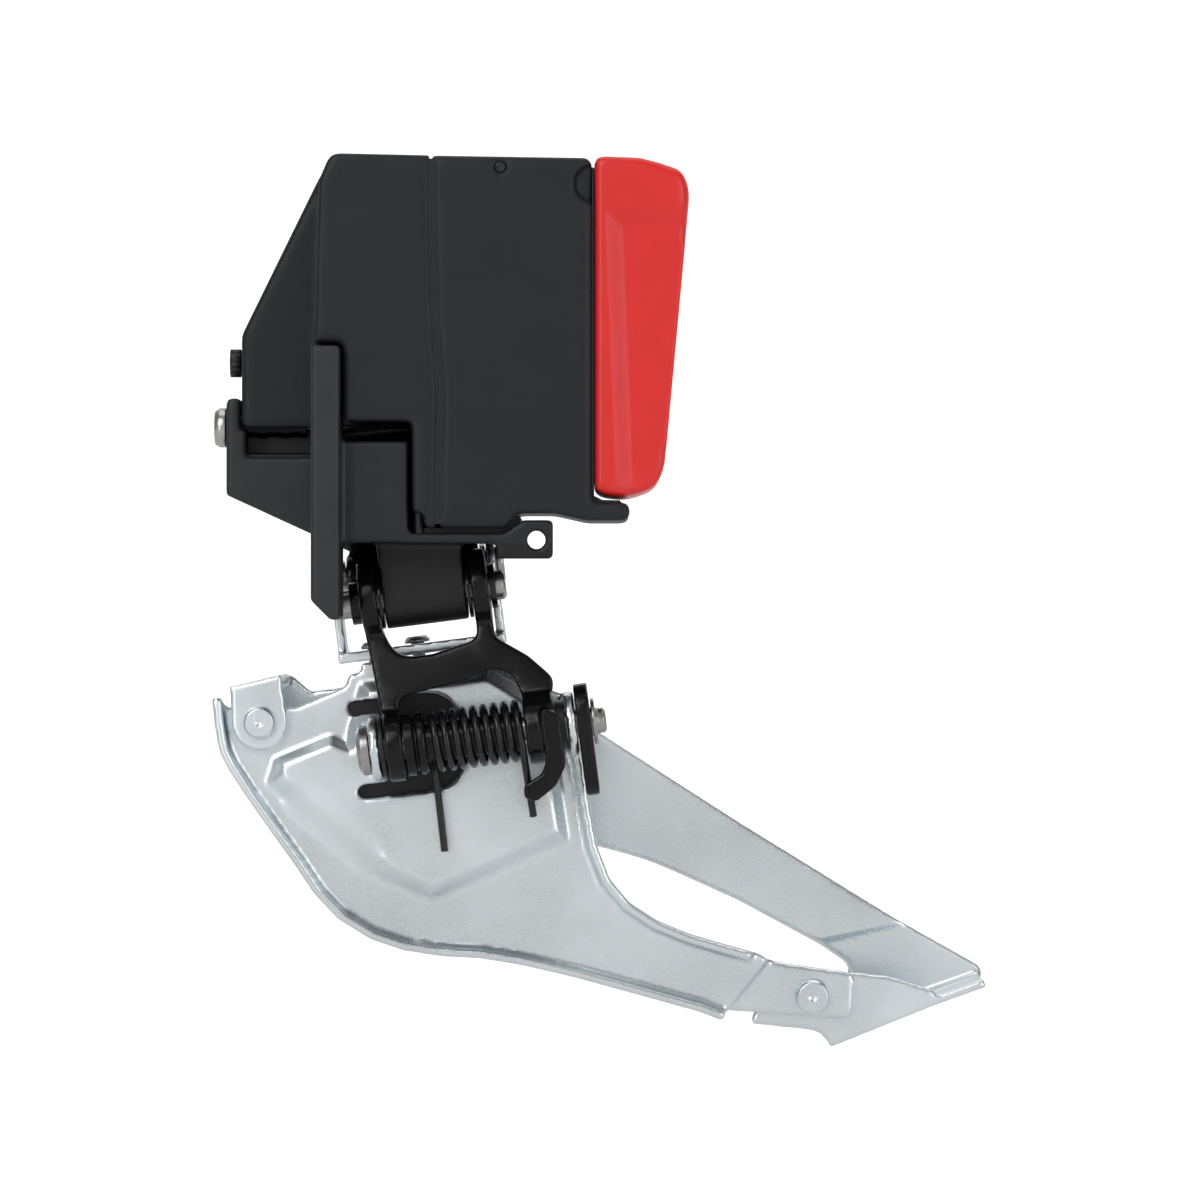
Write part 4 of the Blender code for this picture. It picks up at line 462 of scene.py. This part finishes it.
# Cell of the remesh in millimetres and passes of smoothing, for moulded, cast and pressed nodes.
PRESSED = {
    "motor_housing": (0.4, 5),
    "rear_housing": (0.4, 5),
    "mount_base": (0.36, 3),
    "battery_cover": (0.33, 5),
    "inner_link": (0.3, 5),
    "outer_link": (0.36, 5),
    "stop_arm": (0.25, 4),
    "cage_inner_plate": (0.38, 4),
    "cage_outer_plate": (0.38, 4),
    "cage_bridge": (0.3, 3),
}
SHARP = ("sector_gear", "reduction_gear", "motor_pinion", "limit_screw", "front_bolt")
WELD_REACH = 1e-6
KEPT_SHARE = 0.45
FLAT_ANGLE = math.radians(0.6)
EDGE_WIDTH = 0.00012
EDGE_ANGLE = math.radians(33)


def add(shown, name, kind, **settings):
    """Adds a modifier with these settings."""
    made = shown.modifiers.new(name, kind)
    for key, value in settings.items():
        setattr(made, key, value)


def press(shown, node):
    """Rounds a moulded, cast or pressed node all over, and adds its own forms."""
    cell, passes = PRESSED[node]
    skin = {"mode": "VOXEL", "voxel_size": cell / 1000, "use_smooth_shade": True}
    add(shown, "skin", "REMESH", **skin)
    if node == "battery_cover":
        add(shown, "scoop", "NODES", node_group=SCOOP)
        add(shown, "again", "REMESH", **skin)
        for group in CORNERS:
            add(shown, "corner", "NODES", node_group=group)
    add(shown, "soft", "SMOOTH", factor=0.5, iterations=passes)
    if node == "cage_inner_plate":
        add(shown, "slope", "NODES", node_group=SLOPE)
    if node == "cage_outer_plate":
        add(shown, "fold", "NODES", node_group=FOLD)
    add(shown, "fewer", "DECIMATE", ratio=KEPT_SHARE)


def trim(shown, node):
    """Rounds the edges of a turned or cut node, and keeps its faces flat."""
    add(shown, "flat", "DECIMATE", decimate_type="DISSOLVE", angle_limit=FLAT_ANGLE)
    add(shown, "smooth", "NODES", node_group=SMOOTH)
    add(
        shown,
        "edges",
        "BEVEL",
        width=EDGE_WIDTH,
        segments=1 if node in SHARP else 3,
        limit_method="ANGLE",
        angle_limit=EDGE_ANGLE,
        use_clamp_overlap=True,
        harden_normals=False,
    )
    add(shown, "even", "WEIGHTED_NORMAL", weight=60, keep_sharp=False)


for name_of_node, its_object in NODES.items():
    its_object.data.materials.clear()
    its_object.data.materials.append(FINISHES[FINISH_OF.get(name_of_node, "steel")])
    add(its_object, "weld", "WELD", merge_threshold=WELD_REACH)
    if name_of_node in PRESSED:
        press(its_object, name_of_node)
    else:
        trim(its_object, name_of_node)


# Pieces that only the scene has, with sizes in millimetres

TILT = math.radians(7.3)
PIVOT = (0.0147, 0.0093, -0.01485)


def metres(x, y, z):
    return (x / 1000, y / 1000, z / 1000)


def link_place(u, y, w):
    """Frame metres of a point given in millimetres along the tilted pivots."""
    return (
        PIVOT[0] + (u * math.cos(TILT) - w * math.sin(TILT)) / 1000,
        PIVOT[1] + y / 1000,
        PIVOT[2] + (u * math.sin(TILT) + w * math.cos(TILT)) / 1000,
    )


def arc(x, y, across, first):
    """Seven points of a quarter turn about (x, y), from the angle first in degrees."""
    angles = [math.radians(first + 15 * k) for k in range(7)]
    return [(x + across * math.cos(angle), y + across * math.sin(angle)) for angle in angles]


def solid(name, rings, finish, body):
    """A closed piece whose rings of corners, in metres, follow one another."""
    count = len(rings[0])
    last = count * (len(rings) - 1)
    faces = [tuple(range(count)), tuple(range(last, last + count))]
    for ring in range(0, last, count):
        for k in range(count):
            a, b = ring + k, ring + (k + 1) % count
            faces.append((a, b, b + count, a + count))
    mesh = bpy.data.meshes.new(name)
    mesh.from_pydata([corner for ring in rings for corner in ring], [], faces)
    turned = bmesh.new()
    turned.from_mesh(mesh)
    bmesh.ops.recalc_face_normals(turned, faces=turned.faces)
    turned.to_mesh(mesh)
    turned.free()
    mesh.materials.append(FINISHES[finish])
    made = bpy.data.objects.new(name, mesh)
    bpy.context.scene.collection.objects.link(made)
    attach(made, body)
    return made


def wire_line(start, end, y, w):
    """The spring's wire from its near leg through the coil to its far leg, as (u, y, w)."""
    turns, across, steps_a_turn = 8.5, 3.75, 28
    near_steps, far_steps = 6, 5
    line = [(start - 0.25, y + across + 0.25, w - 15.0)]
    for k in range(1, near_steps + 1):
        part = k / near_steps
        line.append((start - 0.25 + 0.15 * part, y + across + 0.25 * (1 - part), w - 15.0 + 12.8 * part))
    steps = int(turns * steps_a_turn)
    for k in range(steps + 1):
        angle = 2 * math.pi * turns * k / steps
        along = start + (end - start) * k / steps
        line.append((along, y + across * math.cos(angle), w + across * math.sin(angle)))
    for k in range(far_steps + 1):
        part = k / far_steps
        line.append((end + 0.1 + 0.25 * part, y - across + 1.8 * part, w - 2.2 - 9.4 * part))
    return line


def wound_spring():
    """The torsion spring with its full round wire, on the path that the solid follows."""
    start, end, y, w = -1.5, 10.5, -4.3, -19.8
    line = wire_line(start, end, y, w)
    curve = bpy.data.curves.new("wire_path", "CURVE")
    curve.dimensions = "3D"
    curve.bevel_depth = 0.0005
    curve.bevel_resolution = 4
    curve.use_fill_caps = True
    spline = curve.splines.new("POLY")
    spline.points.add(len(line) - 1)
    for point, at in zip(spline.points, line):
        point.co = (*link_place(*at), 1.0)
    path = bpy.data.objects.new("wire_path", curve)
    bpy.context.scene.collection.objects.link(path)
    bpy.context.view_layer.update()
    graph = bpy.context.evaluated_depsgraph_get()
    mesh = bpy.data.meshes.new_from_object(path.evaluated_get(graph))
    bpy.data.objects.remove(path)
    for face in mesh.polygons:
        # The caps at the wire's ends stay flat.
        face.use_smooth = len(face.vertices) < 5
    mesh.materials.clear()
    mesh.materials.append(FINISHES["spring"])
    made = bpy.data.objects.new("wound_spring", mesh)
    bpy.context.scene.collection.objects.link(made)
    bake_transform(made)
    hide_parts("torsion_spring")


def parting_bead():
    """The thin bead that fills the joint between the two casing halves on the near side."""
    line = [(15.8, 43.1), (16.2, 24.3), (17.0, 11.0), (16.72, -5.5)]
    shape = [(-0.42, -3.3), (0.62, -3.3), (0.13, -2.5), (-0.13, -2.5)]
    rings = [[metres(x + across, y, z) for across, y in shape] for x, z in line]
    solid("parting_bead", rings, "casing", "base")


def lip_seal():
    """The rubber seal between the casing and the battery cover, down to the lip and open at the latch."""
    near, far, low, high = -1.95, 22.45, -1.85, 41.5
    middle, half_gap, bend = 10.25, 3.7, 1.5
    path = [(middle - half_gap, high)]
    path += arc(near + bend, high - bend, bend, 90)
    path += arc(near + bend, low + bend, bend, 180)
    path += arc(far - bend, low + bend, bend, 270)
    path += arc(far - bend, high - bend, bend, 0)
    path.append((middle + half_gap, high))
    shape = [(37.31, -0.7), (37.44, -0.7), (37.58, -0.35), (37.58, 0.35), (37.44, 0.7), (37.31, 0.7)]
    rings = []
    for index, (y, z) in enumerate(path):
        before = path[max(0, index - 1)]
        after = path[min(len(path) - 1, index + 1)]
        length = math.dist(before, after)
        side_y, side_z = (after[1] - before[1]) / length, (before[0] - after[0]) / length
        rings.append([metres(x, y + side_y * off, z + side_z * off) for x, off in shape])
    made = solid("lip_seal", rings, "rubber", "base")
    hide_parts("housing_seal")


def lip_pad():
    """The soft pad on the casing's lip, under the battery cover."""
    line = [(37.3, -2.64), (41.3, -2.64), (41.0, -2.3), (38.7, -2.25), (37.8, -1.8), (37.3, -1.6)]
    rings = [[metres(x, y, z) for x, z in line] for y in (-1.6, 22.1)]
    solid("lip_pad", rings, "rubber", "base")


def shelf_shade_pad():
    """A thin dark pad between the casing and the shelf under it, turned up along the casing at its rear end; it is
    painted shade that stands in for the shadow in that gap.
    """
    line = [
        (14.5, -6.69), (25.85, -6.69), (27.95, -4.95), (27.6, -4.35),
        (27.2, -4.2), (25.65, -6.02), (14.5, -6.02),
    ]
    rings = [[metres(x, y, z) for x, z in line] for y in (-0.2, 6.0)]
    solid("shelf_shade_pad", rings, "plastic", "base")


def dust_shield():
    """The folded strip on the sill that stands behind the front bolt and hides the axle."""
    line = [(10.2, 3.66), (14.9, 3.66), (14.9, 7.5), (14.4, 7.5), (14.4, 4.4), (14.1, 4.1), (10.2, 4.1)]
    rings = [[metres(x, y, z) for y, z in line] for x in (-9.9, 0.25)]
    solid("dust_shield", rings, "plastic", "base")


def window_shade_plate():
    """A black plate behind the window in the inner cage plate, as painted shade for the dark seen through the window.
    """
    left, right, low, high = -13.0, 4.6, -27.0, -12.6
    wide, tight = 5.0, 1.5
    line = arc(right - wide, high - wide, wide, 0)
    line += arc(left + tight, high - tight, tight, 90)
    line += arc(left + tight, low + tight, tight, 180)
    line += arc(right - wide, low + wide, wide, 270)
    rings = [[link_place(u, y, w) for u, w in line] for y in (3.3, 3.8)]
    solid("window_shade_plate", rings, "plastic", "cage")


wound_spring()
parting_bead()
lip_seal()
lip_pad()
shelf_shade_pad()
dust_shield()
window_shade_plate()


# Stage, lights and camera

FLOOR_Z = -0.125
FLOOR_FRONT = -1.6
SWEEP_START = 0.5
SWEEP_RADIUS = 0.5
SWEEP_STEPS = 12
BACKDROP_TOP = 1.6
HALF_WIDTH = 2.2


def studio_finish():
    """Pale paper. What the camera sees of it is brighter than what it sends to the part."""
    made, tree, main = shader("studio_sheet", (0.9, 0.9, 0.9), 0.9)
    tone = noise(tree, place(tree), scale=6.0)
    seen = tree.nodes.new("ShaderNodeLightPath").outputs["Is Camera Ray"]
    dim = ramp(tree, tone, (0.54, 0.54, 0.54), (0.56, 0.56, 0.56))
    pale = ramp(tree, tone, (0.89, 0.89, 0.89), (0.92, 0.92, 0.92))
    tree.links.new(mixed(tree, seen, dim, pale), main.inputs["Base Color"])
    main.inputs["Emission Color"].default_value = (1.0, 1.0, 1.0, 1.0)
    glow = spread(tree, seen, low=0.25, high=0.62, start=0.0, end=1.0)
    tree.links.new(glow, main.inputs["Emission Strength"])
    return made


def studio_floor():
    """A wide sheet that runs along the floor and sweeps up into the backdrop."""
    points = [(FLOOR_FRONT, FLOOR_Z), (SWEEP_START, FLOOR_Z)]
    for step in range(1, SWEEP_STEPS + 1):
        angle = math.radians(90 * step / SWEEP_STEPS)
        points.append(
            (SWEEP_START + SWEEP_RADIUS * math.sin(angle), FLOOR_Z + SWEEP_RADIUS * (1 - math.cos(angle)))
        )
    points.append((SWEEP_START + SWEEP_RADIUS, BACKDROP_TOP))
    corners = [(x, y, z) for y, z in points for x in (-HALF_WIDTH, HALF_WIDTH)]
    faces = [(k, k + 1, k + 3, k + 2) for k in range(0, len(corners) - 2, 2)]
    mesh = bpy.data.meshes.new("studio_floor")
    mesh.from_pydata(corners, [], faces)
    for face in mesh.polygons:
        face.use_smooth = True
    mesh.materials.append(studio_finish())
    made = bpy.data.objects.new("studio_floor", mesh)
    bpy.context.scene.collection.objects.link(made)


CENTRE = (0.03, 0.01, -0.016)


def softbox(name, place_at, size, power):
    """A rectangular light that looks at the middle of the part."""
    data = bpy.data.lights.new(name, "AREA")
    data.shape = "RECTANGLE"
    data.size, data.size_y = size
    data.energy = power
    made = bpy.data.objects.new(name, data)
    bpy.context.scene.collection.objects.link(made)
    made.location = place_at
    x, y, z = (a - b for a, b in zip(CENTRE, place_at))
    made.rotation_euler = (math.atan2(math.hypot(x, y), -z), 0.0, math.atan2(y, x) - math.pi / 2)


def studio_world():
    """White where the camera sees it, and dim as a light."""
    made = bpy.data.worlds.new("studio")
    made.use_nodes = True
    tree = made.node_tree
    sky = tree.nodes["Background"]
    sky.inputs["Color"].default_value = (1.0, 1.0, 1.0, 1.0)
    seen = tree.nodes.new("ShaderNodeLightPath").outputs["Is Camera Ray"]
    glow = spread(tree, seen, low=0.26, high=1.0, start=0.0, end=1.0)
    tree.links.new(glow, sky.inputs["Strength"])
    bpy.context.scene.world = made


# The photo is 162 mm wide at the part, seen from 750 mm away.
SENSOR = 36.0
AWAY = 750.0
WIDE = 162.0


def photo_camera():
    """A camera where the photo was taken from, as far as it can be told."""
    data = bpy.data.cameras.new("view")
    data.sensor_width = SENSOR
    data.lens = SENSOR * AWAY / WIDE
    data.clip_start = 0.01
    data.clip_end = 20.0
    made = bpy.data.objects.new("view", data)
    bpy.context.scene.collection.objects.link(made)
    made.location = (0.03837, -0.742, -0.0156)
    made.rotation_euler = (math.radians(90), 0.0, 0.0)
    bpy.context.scene.camera = made


studio_floor()
softbox("key", (-0.35, -0.75, 0.55), size=(0.6, 0.6), power=2.8)
softbox("fill", (0.75, -0.6, 0.1), size=(0.7, 0.9), power=2.5)
softbox("top", (0.05, 0.1, 0.85), size=(0.9, 0.7), power=2.2)
softbox("front", (0.35, -0.95, -0.02), size=(1.0, 0.7), power=0.85)
softbox("back", (0.1, 0.75, 0.45), size=(1.0, 0.5), power=0.7)
softbox("strip", (-0.32, -0.55, 0.12), size=(0.05, 0.6), power=0.7)
studio_world()
bpy.context.scene.view_settings.view_transform = "Standard"
photo_camera()

bpy.context.view_layer.update()
